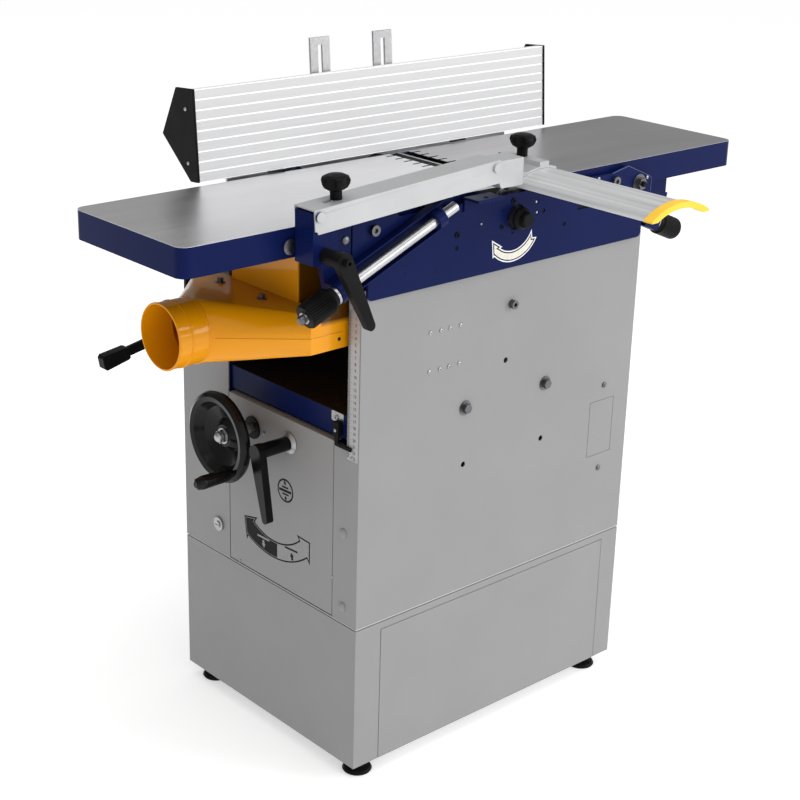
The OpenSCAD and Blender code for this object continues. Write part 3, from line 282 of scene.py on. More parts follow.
def browned(name, light, dark, shade_colour):
    finish = coated(name, light, dark, 0.20, 500.0, 0.10, lacquer=0.35)
    tree, shader = finish.node_tree, finish.node_tree.nodes["Principled BSDF"]
    paint = shader.inputs["Base Color"].links[0].from_socket
    place = axes(tree)
    beside = spread(tree, place["X"], 0.0, 1.0, COVER_SIDE_X, COVER_SIDE_X + 0.003)
    above = spread(tree, place["Z"], 0.0, 1.0, COVER_FOOT_Z, COVER_FOOT_Z + 0.008)
    both = math_node(tree, "MULTIPLY", beside, above)
    tree.links.new(mixed(tree, both, paint, shade_colour), shader.inputs["Base Color"])
    return finish


# The third colour is painted shade, laid on the side of the cover under the tables.
HOOD_PAINT = browned("orange_hood", *ORANGE_PAINT, (0.085, 0.030, 0.0003))
print("hood paint:", HOOD_PAINT.name)

# %% [markdown]
# Moulded plastic is never perfectly even either. A spark-eroded mould leaves a fine grain, so the bump is
# a small noise, and the roughness wanders a little where hands have polished it.

# %% Moulded plastic
def moulded(name, light, dark, rough, grain=1400.0, shine=0.08):
    finish, tree, shader = new_finish(name)
    place = stretched(tree)
    tree.links.new(ramp(tree, noise(tree, place, 30.0, 3.0), dark, light), shader.inputs["Base Color"])
    polished = noise(tree, place, 60.0, 2.0)
    tree.links.new(spread(tree, polished, rough - 0.06, rough + 0.06), shader.inputs["Roughness"])
    shader.inputs["Specular IOR Level"].default_value = shine
    bump(tree, shader, noise(tree, place, grain, 2.0), 0.25, 0.0003)
    return finish


BLACK_RESIN = (0.0060, 0.0060, 0.0064), (0.0040, 0.0040, 0.0044)
BLACK = moulded("black_plastic", *BLACK_RESIN, 0.42)
GLOSS_BLACK = moulded("gloss_black_plastic", *BLACK_RESIN, 0.18, 700.0, 0.18)
YELLOW = moulded("yellow_plastic", (0.98, 0.62, 0.07), (0.94, 0.56, 0.05), 0.35)
GREEN = moulded("green_plastic", (0.03, 0.30, 0.07), (0.02, 0.24, 0.05), 0.30)
RED = moulded("red_plastic", (0.62, 0.03, 0.02), (0.52, 0.02, 0.015), 0.30)
RUBBER = moulded("black_rubber", (0.020, 0.020, 0.020), (0.012, 0.012, 0.012), 0.70, 700.0)
print("plastics:", BLACK.name, GLOSS_BLACK.name, YELLOW.name, GREEN.name, RED.name, RUBBER.name)

# %% [markdown]
# Bare metal shows how it was made. An extrusion and a rolled strip carry long lines along their length, a
# turned part carries fine rings, and a casting is only grainy. Stretching the noise hard along one axis
# draws those lines in the roughness and the bump. The guard's brushed lines show in its colour as well.

# %% Bare metal
def bare_metal(name, light, dark, rough, lines=(4.0, 900.0, 900.0), depth=0.00015, swing=0.08, metal=1.0,
               clouds=(12.0, 12.0, 12.0)):
    finish, tree, shader = new_finish(name)
    shader.inputs["Metallic"].default_value = metal
    drawn = noise(tree, stretched(tree, lines), 1.0, 4.0)
    cloudy = noise(tree, stretched(tree, clouds), 1.0, 4.0)
    join(tree, (ramp(tree, cloudy, dark, light), shader.inputs["Base Color"]),
               (spread(tree, drawn, rough - swing, rough + swing), shader.inputs["Roughness"]))
    bump(tree, shader, drawn, 0.35, depth)
    return finish


ARM_METAL = bare_metal("brushed_arm_aluminium", (0.49, 0.495, 0.50), (0.45, 0.455, 0.46), 0.44, metal=0.35)
ANODISED = bare_metal("anodised_guard", (0.74, 0.745, 0.75), (0.44, 0.445, 0.45), 0.42, (900.0, 4.0, 900.0),
                      swing=0.12, metal=0.40, clouds=(110.0, 2.0, 110.0))
STEEL = bare_metal("bright_steel", (0.50, 0.50, 0.51), (0.40, 0.40, 0.41), 0.33, (900.0, 900.0, 60.0))
ZINC = bare_metal("zinc_plate", (0.46, 0.465, 0.47), (0.36, 0.365, 0.37), 0.36, (140.0, 140.0, 140.0))
OILED_STEEL = bare_metal("oiled_steel", (0.17, 0.17, 0.175), (0.11, 0.11, 0.115), 0.34, (300.0, 300.0, 300.0))
STRAP_STEEL = bare_metal("strap_steel", (0.36, 0.36, 0.365), (0.30, 0.30, 0.305), 0.42, (200.0, 200.0, 200.0))
RULER_METAL = bare_metal("satin_ruler", (0.45, 0.45, 0.455), (0.41, 0.41, 0.415), 0.50, metal=0.25)
CAST = bare_metal("dark_casting", (0.13, 0.13, 0.135), (0.09, 0.09, 0.095), 0.62, (260.0, 260.0, 260.0), 0.0005)
print("metals:", ARM_METAL.name, ANODISED.name, STRAP_STEEL.name, RULER_METAL.name, STEEL.name, ZINC.name,
      OILED_STEEL.name, CAST.name)

# %% [markdown]
# The fence is an anodised extrusion with shallow grooves along its face. The cutter that trims them leaves
# them brighter than the face, and a triangle wave on the height, counted from the fence's foot, finds them.

# %% Grooved fence
FENCE_FOOT, GROOVE_PITCH, GROOVE_SHARE = 0.943, 0.137 * 0.997 / 9, 0.082


def grooved(name, light, dark, groove, rough):
    finish, tree, shader = new_finish(name)
    wave = axes(tree)["Z"]
    for operation, value in (("SUBTRACT", FENCE_FOOT), ("DIVIDE", GROOVE_PITCH), ("PINGPONG", 0.5),
                             ("LESS_THAN", GROOVE_SHARE)):
        wave = math_node(tree, operation, wave, value)
    lines = noise(tree, stretched(tree, (4.0, 900.0, 900.0)), 1.0, 4.0)
    join(tree, (mixed(tree, wave, ramp(tree, lines, dark, light), groove), shader.inputs["Base Color"]),
               (spread(tree, lines, rough - 0.06, rough + 0.06), shader.inputs["Roughness"]))
    shader.inputs["Metallic"].default_value = 0.30
    bump(tree, shader, lines, 0.2, 0.0001)
    return finish


FENCE_METAL = grooved("grooved_fence", (0.60, 0.60, 0.605), (0.54, 0.54, 0.545), (0.96, 0.96, 0.96), 0.46)
print("fence finish:", FENCE_METAL.name)

# %% [markdown]
# The planing tables are iron castings: painted blue all round, and ground bright on top only. The finish
# is therefore split by height. A sharp step on the object's Z picks the ground surface, and the long
# grinding lines run with the feed direction. Round the mouth, below the top, the casting is made near
# black: painted shade inside the mouth. The rear side plate has the same finish, because its upper edge is left bare
# too.

# %% Painted casting with a ground top
MOUTH_X, MOUTH_HALF, MOUTH_SHADE = SHIFT[0] * 0.001, 0.062, (0.010, 0.010, 0.011)


def ground_top(name, top_z, bright, dark, rough):
    finish, tree, shader = new_finish(name)
    place, (paint_light, paint_dark) = axes(tree), BLUE_PAINT
    on_top = math_node(tree, "GREATER_THAN", place["Z"], top_z - 0.0004)
    at_mouth = math_node(tree, "COMPARE", place["X"], MOUTH_X, MOUTH_HALF)
    lines = noise(tree, stretched(tree, (2.5, 520.0, 520.0)), 1.0, 5.0)
    metal = ramp(tree, noise(tree, stretched(tree, (3.0, 9.0, 9.0)), 1.0, 3.0), dark, bright)
    paint = ramp(tree, noise(tree, stretched(tree), 7.0, 4.0), paint_dark, paint_light)
    # Near black round the mouth: painted shade inside the mouth.
    side = mixed(tree, at_mouth, paint, MOUTH_SHADE)
    join(tree, (mixed(tree, on_top, side, metal), shader.inputs["Base Color"]), (on_top, shader.inputs["Metallic"]))
    shader.inputs["Specular IOR Level"].default_value = 0.06
    gloss = tree.nodes.new("ShaderNodeMix")
    gloss.inputs["A"].default_value = 0.30
    join(tree, (on_top, gloss.inputs["Factor"]),
               (spread(tree, lines, rough - 0.07, rough + 0.07), gloss.inputs["B"]),
               (gloss.outputs["Result"], shader.inputs["Roughness"]))
    bump(tree, shader, lines, 0.25, 0.00012)
    return finish


# Both tops are the same ground iron; the infeed top's darker grey is painted shade for the darker reflection it
# shows.
OUTFEED_TOP = ground_top("ground_outfeed_top", TABLE_Z / 1000, (0.82, 0.82, 0.83), (0.74, 0.74, 0.75), 0.36)
INFEED_TOP = ground_top("ground_infeed_top", TABLE_Z / 1000, (0.52, 0.52, 0.53), (0.45, 0.45, 0.46), 0.38)
# The rising table's ground top is made nearly black: painted shade, for the shade it lies in under the planing
# tables.
LIFT_TOP = ground_top("ground_lift_top", 0.624, (0.035, 0.035, 0.036), (0.022, 0.022, 0.023), 0.55)
REAR_PLATE = ground_top("bare_edged_rear_plate", 0.922, (0.60, 0.60, 0.605), (0.54, 0.54, 0.545), 0.50)
print("table finishes:", OUTFEED_TOP.name, INFEED_TOP.name, LIFT_TOP.name, REAR_PLATE.name)

# %% [markdown]
# A CAD solid has perfect knife edges, and a real part never has. Each part gets the same three steps as
# modifiers: Weld joins the loose triangles, a small Geometry Nodes tree shades it smooth except across
# sharp edges, and a narrow Bevel breaks those edges so that they catch the light. The bevel hardens its
# normals, so the flat sheet beside a rounded edge stays flat in its reflections.

# %% Smooth by angle
SMOOTH_BELOW, BEVEL_ABOVE, JOIN_M = math.radians(25), math.radians(40), 0.00001


def new_tree(name, *inputs):
    """A Geometry Nodes tree; each input is a title and the kind of its socket."""
    tree = bpy.data.node_groups.new(name, "GeometryNodeTree")
    for title, kind in inputs:
        tree.interface.new_socket(title, in_out="INPUT", socket_type="NodeSocket" + kind)
    tree.interface.new_socket("Geometry", in_out="OUTPUT", socket_type="NodeSocketGeometry")
    return tree, tree.nodes.new("NodeGroupInput").outputs, tree.nodes.new("NodeGroupOutput").inputs["Geometry"]


def smooth_tree():
    tree, start, end = new_tree("smooth_by_angle", ("Geometry", "Geometry"), ("Sharp angle", "Float"))
    tree.interface.items_tree["Sharp angle"].default_value = SMOOTH_BELOW
    angle = tree.nodes.new("GeometryNodeInputMeshEdgeAngle")
    below = tree.nodes.new("FunctionNodeCompare")
    below.operation = "LESS_THAN"
    faces = tree.nodes.new("GeometryNodeSetShadeSmooth")
    edges = tree.nodes.new("GeometryNodeSetShadeSmooth")
    edges.domain = "EDGE"
    join(tree, (start["Geometry"], faces.inputs["Geometry"]), (faces.outputs["Geometry"], edges.inputs["Geometry"]),
               (angle.outputs["Unsigned Angle"], below.inputs["A"]), (start["Sharp angle"], below.inputs["B"]),
               (below.outputs["Result"], edges.inputs["Shade Smooth"]), (edges.outputs["Geometry"], end))
    return tree


SMOOTH = smooth_tree()


def dress(names, finish, edge):
    """edge: width of the broken edge in millimetres."""
    for name in names.split():
        part = NODES[name]
        part.data.materials.clear()
        part.data.materials.append(finish)
        weld = part.modifiers.new("join", "WELD")
        weld.merge_threshold = JOIN_M
        shade = part.modifiers.new("shade", "NODES")
        shade.node_group = SMOOTH
        if edge:
            bevel = part.modifiers.new("broken_edge", "BEVEL")
            bevel.width = edge / 1000
            bevel.segments = 2
            bevel.limit_method = "ANGLE"
            bevel.angle_limit = BEVEL_ABOVE
            bevel.harden_normals = True


dress("base_plinth cabinet_front_panel right_end_panel drive_cover", GREY, 0.8)
dress("left_end_panel", GREY, 0.0)
dress("plinth_front_panel", GREY, 0.3)
dress("rear_side_plate", REAR_PLATE, 0.8)
dress("front_side_plate rod_clamps outfeed_carrier infeed_carrier guard_bracket fence_guide", BLUE, 0.8)
dress("outfeed_table", OUTFEED_TOP, 1.2)
dress("infeed_table", INFEED_TOP, 1.2)
dress("thicknesser_table", LIFT_TOP, 1.2)
dress("dust_hood", HOOD_PAINT, 0.6)
dress("handwheel handwheel_grip lock_lever", GLOSS_BLACK, 1.0)
dress("spindle_cap shaft_collar clamp_lever arm_knob guard_knob fence_knob", BLACK, 1.0)
dress("fence_end_caps levelling_feet switch_box scale_pointer", BLACK, 0.8)
dress("outfeed_knob infeed_knob", BLACK, 0.25)
dress("feed_lever", BLACK_PAINT, 0.8)
dress("guard_end_cap", YELLOW, 0.5)
dress("fence", FENCE_METAL, 0.4)
dress("guard_arm guard_holder", ARM_METAL, 0.4)
dress("cutter_guard", ANODISED, 0.4)
dress("ruler_scale", RULER_METAL, 0.2)
dress("cutter_block cutter_knives slide_rods lift_screw handwheel_shaft infeed_roller kickback_shaft", STEEL, 0.3)
dress("machine_screws", OILED_STEEL, 0.3)
dress("motor_pulley cover_latch lock_washer fence_carriage kickback_fingers", ZINC, 0.4)
dress("fence_straps", STRAP_STEEL, 0.4)
dress("motor lift_housing", CAST, 0.8)
dress("spindle_bearings", BLACK_PAINT, 0.8)
dress("drive_belt outfeed_roller", RUBBER, 0.4)
dress("start_button", GREEN, 0.8)
dress("stop_button", RED, 0.8)
print("dressed parts:", sum(1 for part in NODES.values() if part.modifiers))

# %% [markdown]
# The rest of the notebook adds the small things. Nearly all of them are one outline swept through a few
# rings: a label is the same outline at two levels, and a turned part is a circle whose radius changes with
# its height. So one helper joins rings of machine points into a closed skin, and the others feed it.

# %% Helpers for small pieces
SHARP = math.radians(32)


def settle(name, mesh, finish, body):
    mesh.name = name
    mesh.shade_smooth()
    mesh.set_sharp_from_angle(angle=SHARP)
    mesh.materials.clear()
    mesh.materials.append(finish)
    piece = bpy.data.objects.new(name, mesh)
    bpy.context.scene.collection.objects.link(piece)
    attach(piece, body)
    return piece


def skin(parts):
    shape = bmesh.new()
    for rings in parts:
        loops = [[shape.verts.new(at(*point)) for point in ring] for ring in rings]
        count = len(loops[0])
        for low, high in zip(loops, loops[1:]):
            for i in range(count):
                shape.faces.new((low[i], low[(i + 1) % count], high[(i + 1) % count], high[i]))
        shape.faces.new(tuple(reversed(loops[0])))
        shape.faces.new(tuple(loops[-1]))
    bmesh.ops.recalc_face_normals(shape, faces=shape.faces)
    mesh = bpy.data.meshes.new("skin")
    shape.to_mesh(mesh)
    shape.free()
    return mesh


def turned(foot, axis, profile, sides=32):
    """Rings round an axis; a profile row is radius, height and, where the ring is a hexagon, True."""
    axis = Vector(axis).normalized()
    across = axis.orthogonal().normalized()
    other = axis.cross(across)
    rings, sixth = [], math.pi / 6
    for radius, height, *hexagon in profile:
        ring = []
        for i in range(sides):
            angle = 2 * math.pi * i / sides
            reach = radius
            if hexagon:
                reach = radius * math.cos(sixth) / math.cos((angle + sixth) % (2 * sixth) - sixth)
            around = across * math.cos(angle) + other * math.sin(angle)
            ring.append(Vector(foot) + axis * height + around * reach)
        rings.append(ring)
    return rings


print("small pieces are sharp from", round(math.degrees(SHARP)), "degrees")

# %% [markdown]
# Printed marks are thin films. Each one is an outline on a face of the cabinet, and a border is the same
# outline moved inwards, so the black line round an arrow keeps one width all the way round. Each film lies a
# tenth of a millimetre over the one below it.

# %% Helpers for printed marks
FIRST, SECOND, THIRD, FOURTH = 0.12, 0.22, 0.32, 0.42


def arc(centre, radius, start, stop, steps=14):
    turns = [math.radians(start + (stop - start) * i / steps) for i in range(steps + 1)]
    return [(centre[0] + radius * math.cos(turn), centre[1] + radius * math.sin(turn)) for turn in turns]


def inset(outline, width):
    area = sum(a[0] * b[1] - b[0] * a[1] for a, b in zip(outline, outline[1:] + outline[:1]))
    side = 1.0 if area > 0 else -1.0
    moved = []
    for before, here, after in zip(outline[-1:] + outline[:-1], outline, outline[1:] + outline[:1]):
        one = (Vector(here) - Vector(before)).normalized()
        two = (Vector(after) - Vector(here)).normalized()
        normal_one, normal_two = Vector((-one.y, one.x)) * side, Vector((-two.y, two.x)) * side
        mitre = (normal_one + normal_two).normalized()
        moved.append(tuple(Vector(here) + mitre * (width / max(0.25, mitre.dot(normal_one)))))
    return moved


def on_left(level):
    return lambda y, z: (LEFT_X - level, y, z)


def on_front(face, level):
    return lambda x, z: (x, face - level, z)


def film(outline, *levels):
    return [[level(*point) for point in outline] for level in levels]


def print_ink(name, colour):
    finish, tree, shader = new_finish(name)
    place = stretched(tree)
    darker = tuple(0.86 * c for c in colour)
    join(tree, (ramp(tree, noise(tree, place, 180.0, 3.0), darker, colour), shader.inputs["Base Color"]),
               (spread(tree, noise(tree, place, 90.0, 2.0), 0.35, 0.45), shader.inputs["Roughness"]))
    bump(tree, shader, noise(tree, place, 900.0, 2.0), 0.1, 0.0002)
    shader.inputs["Specular IOR Level"].default_value = 0.08
    return finish


INK = print_ink("black_ink", (0.006, 0.006, 0.0065))
FILM_GREY = print_ink("grey_film", (0.31, 0.31, 0.315))
FILM_WHITE = print_ink("white_film", (0.86, 0.87, 0.90))
FILM_CREAM = print_ink("cream_film", (0.78, 0.76, 0.68))
print("films:", INK.name, FILM_GREY.name, FILM_WHITE.name, FILM_CREAM.name)

# %% [markdown]
# The lever on the left panel locks the rising table, and the long arrow under it shows which way it frees
# and which way it clamps. The left half is dark and the right half is light, and each carries a small sign
# of a board with an arrow that moves away from it or towards it. Bars and arrows are made by two helpers.

# %% Lock lever label
def bar(a, b, width):
    a, b = Vector(a), Vector(b)
    side = Vector((a.y - b.y, b.x - a.x)).normalized() * (width / 2)
    return [tuple(a + side), tuple(a - side), tuple(b - side), tuple(b + side)]


def arrow(tail, tip, width, head):
    tail, tip = Vector(tail), Vector(tip)
    along = (tip - tail).normalized()
    side, neck = Vector((-along.y, along.x)), tip - along * head * 0.8
    return [tuple(v) for v in (tail + side * width / 2, tail - side * width / 2, neck - side * width / 2,
                               neck - side * head / 2, tip, neck + side * head / 2, neck + side * width / 2)]


UPPER_CENTRE, UPPER_R = (-20.1, 454.5), 98.1
LOWER_CENTRE, LOWER_R = (-15.2, 468.0), 143.2
left_head = [(52.4, 332.2), (58.8, 372.9), (23.7, 381.0)]
right_head = [(-78.6, 388.5), (-111.7, 386.8), (-111.6, 347.5)]
whole = (left_head + arc(UPPER_CENTRE, UPPER_R, -58.7, -131.2) + right_head
         + arc(LOWER_CENTRE, LOWER_R, -128.5, -63.7))
dark_half = left_head + arc(UPPER_CENTRE, UPPER_R, -58.7, -97.0) + arc(LOWER_CENTRE, LOWER_R, -96.7, -63.7)
ground = on_left(0.0)
settle("lock_label_outline", skin([film(whole, ground, on_left(FIRST))]), INK, "frame")
settle("lock_label_film", skin([film(inset(whole, 2.6), ground, on_left(SECOND))]), FILM_GREY, "frame")
settle("lock_label_dark_half", skin([film(inset(dark_half, 3.4), ground, on_left(THIRD))]), INK, "frame")
light_signs = [bar((23.3, 350.7), (-8.1, 351.2), 3.2), arrow((7.9, 346.4), (5.8, 333.0), 5.0, 9.5)]
dark_signs = [bar((-48.8, 355.8), (-80.8, 357.9), 3.2), arrow((-67.9, 339.0), (-65.3, 352.0), 5.0, 9.5)]
settle("lock_label_light_signs", skin([film(o, ground, on_left(FOURTH)) for o in light_signs]), FILM_GREY, "frame")
settle("lock_label_dark_signs", skin([film(o, ground, on_left(FOURTH)) for o in dark_signs]), INK, "frame")
print("lock label points:", len(whole))

# %% [markdown]
# The round label above it shows the table held between two clamps: a long bar, two shorter ones and two
# arrows that press on them. A ring is two discs, the light one a little smaller and a little higher.

# %% Clamp label
CLAMP_CENTRE, CLAMP_R, CLAMP_LINE = (-49.4, 454.5), 20.0, 3.2
for name, radius, level, finish in (("clamp_label_ring", CLAMP_R, FIRST, INK),
                                    ("clamp_label_film", CLAMP_R - CLAMP_LINE, SECOND, FILM_GREY)):
    settle(name, skin([film(arc(CLAMP_CENTRE, radius, 0, 352.5, 47), ground, on_left(level))]), finish, "frame")
clamp_signs = [bar((-33.9, 453.4), (-64.6, 454.8), 4.4), bar((-41.0, 459.6), (-57.0, 460.3), 3.0),
               bar((-42.0, 447.9), (-58.0, 448.6), 3.0), arrow((-47.6, 471.4), (-49.2, 462.6), 3.0, 7.0),
               arrow((-51.0, 437.4), (-49.6, 446.2), 3.0, 7.0)]
settle("clamp_label_signs", skin([film(o, ground, on_left(0.34)) for o in clamp_signs]), INK, "frame")
print("clamp label radius:", CLAMP_R)

# %% [markdown]
# The blue side plate carries a curved arrow under the cutter's cap: it shows the way the cutter turns. It
# has a white border, a dark line and a cream body, which are three films of one outline.

# %% Arrow on the side plate
PLATE_Y = -230.0
INNER_CENTRE, INNER_R = (-6.6, 883.9), 45.8
OUTER_CENTRE, OUTER_R = (-5.3, 880.0), 60.0
turning = ([(-47.6, 832.0), (-50.9, 861.3), (-28.1, 847.6)] + arc(INNER_CENTRE, INNER_R, -124.1, -24.0)
           + [(37.5, 851.7)] + arc(OUTER_CENTRE, OUTER_R, -28.9, -130.9))
plate = on_front(PLATE_Y, 0.0)
settle("turning_arrow_border", skin([film(turning, plate, on_front(PLATE_Y, FIRST))]), FILM_WHITE, "frame")
settle("turning_arrow_line", skin([film(inset(turning, 2.0), plate, on_front(PLATE_Y, SECOND))]), INK, "frame")
settle("turning_arrow_body", skin([film(inset(turning, 3.9), plate, on_front(PLATE_Y, THIRD))]), FILM_CREAM, "frame")
print("arrow points:", len(turning))

# %% [markdown]
# The ruler beside the throat reads the board's thickness: its zero lies 47 mm under the table line, where
# the pointer stands when the rising table touches the knives' circle. A Geometry Nodes tree lays the
# marks: a line of points, a thin bar on each one, and a length that grows at every fifth and tenth mark.

# %% Tree for ruler marks
MARK_HEIGHT, MARK_WIDTH = 0.0002, 0.00028


def socket_of(tree, title):
    return next(item.identifier for item in tree.interface.items_tree if item.item_type == "SOCKET"
                and item.in_out == "INPUT" and item.name == title)


def painted(tree, geometry, finish, end):
    """The last steps of a tree: make the copies real and give them their finish."""
    real, paint = tree.nodes.new("GeometryNodeRealizeInstances"), tree.nodes.new("GeometryNodeSetMaterial")
    join(tree, (geometry, real.inputs["Geometry"]), (real.outputs["Geometry"], paint.inputs["Geometry"]),
               (finish, paint.inputs["Material"]), (paint.outputs["Geometry"], end))


def ruler_tree():
    tree, start, end = new_tree("ruler_marks", ("Geometry", "Geometry"), ("Zero", "Vector"), ("Pitch", "Float"),
                                ("Marks", "Int"), ("Short", "Float"), ("Finish", "Material"))
    line, down = tree.nodes.new("GeometryNodeMeshLine"), tree.nodes.new("ShaderNodeCombineXYZ")
    join(tree, (math_node(tree, "MULTIPLY", start["Pitch"], -1.0), down.inputs["Z"]),
               (start["Marks"], line.inputs["Count"]), (start["Zero"], line.inputs["Start Location"]),
               (down.outputs["Vector"], line.inputs["Offset"]))
    mark, shift = tree.nodes.new("GeometryNodeMeshCube"), tree.nodes.new("GeometryNodeTransform")
    mark.inputs["Size"].default_value = (MARK_HEIGHT, 1.0, MARK_WIDTH)
    shift.inputs["Translation"].default_value = (0.0, -0.5, 0.0)
    tree.links.new(mark.outputs["Mesh"], shift.inputs["Geometry"])
    index = tree.nodes.new("GeometryNodeInputIndex").outputs["Index"]
    fifth = math_node(tree, "LESS_THAN", math_node(tree, "MODULO", index, 5.0), 0.5)
    tenth = math_node(tree, "LESS_THAN", math_node(tree, "MODULO", index, 10.0), 0.5)
    steps = math_node(tree, "ADD", math_node(tree, "ADD", fifth, tenth), 1.0)
    growth = math_node(tree, "ADD", math_node(tree, "MULTIPLY", steps, 0.5), 0.5)
    size = tree.nodes.new("ShaderNodeCombineXYZ")
    size.inputs["X"].default_value = size.inputs["Z"].default_value = 1.0
    tree.links.new(math_node(tree, "MULTIPLY", growth, start["Short"]), size.inputs["Y"])
    put = tree.nodes.new("GeometryNodeInstanceOnPoints")
    join(tree, (line.outputs["Mesh"], put.inputs["Points"]), (shift.outputs["Geometry"], put.inputs["Instance"]),
               (size.outputs["Vector"], put.inputs["Scale"]))
    painted(tree, put.outputs["Instances"], start["Finish"], end)
    return tree


def grown(tree, mesh, **values):
    carrier = bpy.data.objects.new("carrier", mesh)
    bpy.context.scene.collection.objects.link(carrier)
    modifier = carrier.modifiers.new("grow", "NODES")
    modifier.node_group = tree
    for title, value in values.items():
        modifier[socket_of(tree, title)] = list(value) if isinstance(value, Vector) else value
    bpy.context.view_layer.update()
    made = bpy.data.meshes.new_from_object(carrier.evaluated_get(bpy.context.evaluated_depsgraph_get()))
    bpy.data.objects.remove(carrier)
    return made


RULER = ruler_tree()
print("tree:", RULER.name)

# %% [markdown]
# The zero mark is where the pointer would stand with the table right under the knives: the pointer's tip is
# 47 mm below the table's top, so it is 47 mm below the cutting circle's lowest point. The numbers are
# centimetres, made as flat text and turned by a matrix to read upright on the left face.

# %% Ruler marks and numbers
RULER_X, RULER_REAR, RULER_ZERO = -306.2, -199.0, 840.0 - 47.0
NUMBER_Y, NUMBER_SIZE, LAST_NUMBER = -214.5, 7.0, 23
INK_X = RULER_X - 0.05
TO_LEFT_FACE = Matrix(((0, 0, -1, 0), (-1, 0, 0, 0), (0, 1, 0, 0), (0, 0, 0, 1)))
marks = grown(RULER, bpy.data.meshes.new("empty"), Zero=at(INK_X, RULER_REAR, RULER_ZERO), Pitch=0.001,
              Marks=10 * LAST_NUMBER + 1, Short=0.0045, Finish=INK)
settle("ruler_marks", marks, INK, "frame")


def upright_on_left(text, size, y, z):
    curve = bpy.data.curves.new("number", "FONT")
    curve.body, curve.size, curve.extrude, curve.resolution_u = text, size / 1000, 0.0001, 3
    curve.align_x, curve.align_y = "CENTER", "CENTER"
    holder = bpy.data.objects.new("number", curve)
    bpy.context.scene.collection.objects.link(holder)
    bpy.context.view_layer.update()
    flat = bpy.data.meshes.new_from_object(holder.evaluated_get(bpy.context.evaluated_depsgraph_get()))
    bpy.data.objects.remove(holder)
    flat.transform(Matrix.Translation(at(INK_X, y, z)) @ TO_LEFT_FACE)
    return flat


numbers = bmesh.new()
for centimetre in range(1, LAST_NUMBER + 1):
    numbers.from_mesh(upright_on_left(str(centimetre), NUMBER_SIZE, NUMBER_Y, RULER_ZERO - 10 * centimetre))
number_mesh = bpy.data.meshes.new("numbers")
numbers.to_mesh(number_mesh)
numbers.free()
settle("ruler_numbers", number_mesh, INK, "frame")
print("ruler marks:", len(marks.vertices) // 8, "numbers:", LAST_NUMBER)

# %% [markdown]
# The machine is held together by dozens of screws. The big ones are in the CAD model, and the small ones
# are made here. Geometry Nodes place them: a mesh that is only points says where each head sits, which way
# it faces and how large it is, and the tree copies one turned head onto every point.

# %% Tree for screw heads
def heads_tree():
    tree, start, end = new_tree("heads_on_points", ("Points", "Geometry"), ("Head", "Object"), ("Finish", "Material"))
    facing, size = (tree.nodes.new("GeometryNodeInputNamedAttribute") for _ in range(2))
    facing.data_type, size.data_type = "FLOAT_VECTOR", "FLOAT"
    facing.inputs["Name"].default_value, size.inputs["Name"].default_value = "facing", "size"
    turn = tree.nodes.new("FunctionNodeAlignRotationToVector")
    turn.axis = "Z"
    head, put = tree.nodes.new("GeometryNodeObjectInfo"), tree.nodes.new("GeometryNodeInstanceOnPoints")
    join(tree, (facing.outputs["Attribute"], turn.inputs["Vector"]), (start["Head"], head.inputs["Object"]),
               (start["Points"], put.inputs["Points"]), (head.outputs["Geometry"], put.inputs["Instance"]),
               (turn.outputs["Rotation"], put.inputs["Rotation"]), (size.outputs["Attribute"], put.inputs["Scale"]))
    painted(tree, put.outputs["Instances"], start["Finish"], end)
    return tree


HEADS = heads_tree()
print("tree:", HEADS.name)

# %% [markdown]
# Three kinds of head cover the machine, each drawn once at a radius of one millimetre: a low dome with a
# recess, a cap screw with its hexagon socket, and a rivet.

# %% Head shapes
HEAD_PROFILES = {
    "dome_head": [(1.0, 0.0), (1.0, 0.14), (0.93, 0.38), (0.72, 0.56), (0.42, 0.62, True), (0.40, 0.30, True)],
    "cap_head": [(1.0, 0.0), (1.0, 0.88), (0.90, 1.0), (0.56, 1.0, True), (0.54, 0.45, True)],
    "rivet_head": [(1.0, 0.0), (0.96, 0.22), (0.72, 0.42), (0.36, 0.52), (0.06, 0.55)],
}
UP, FRONT, LEFT, RIGHT, REAR = (0, 0, 1), (0, -1, 0), (-1, 0, 0), (1, 0, 0), (0, 1, 0)


def heads(name, kind, finish, body, slot, places):
    """places: rows of x, y, z, the way the head faces and its radius in millimetres."""
    template_mesh = skin([turned((0, 0, 0), UP, HEAD_PROFILES[kind], 24)])
    template_mesh.transform(Matrix.Translation(-at(0, 0, 0)))
    template = bpy.data.objects.new("template", template_mesh)
    points = bpy.data.meshes.new("points")
    points.from_pydata([at(*place[:3]) for place in places], [], [])
    facing = points.attributes.new("facing", "FLOAT_VECTOR", "POINT")
    facing.data.foreach_set("vector", [float(v) for place in places for v in place[3]])
    size = points.attributes.new("size", "FLOAT", "POINT")
    size.data.foreach_set("value", [float(place[4]) for place in places])
    made = grown(HEADS, points, Head=template, Finish=finish)
    bpy.data.objects.remove(template)
    return settle(name, made, finish, body)


print("head kinds:", ", ".join(HEAD_PROFILES))

# %% [markdown]
# Each place is one screw: where it sits, which face it stands on and its radius. A group of them says its
# head, its finish and the body it moves with, because a screw on a table has to slide with that table.

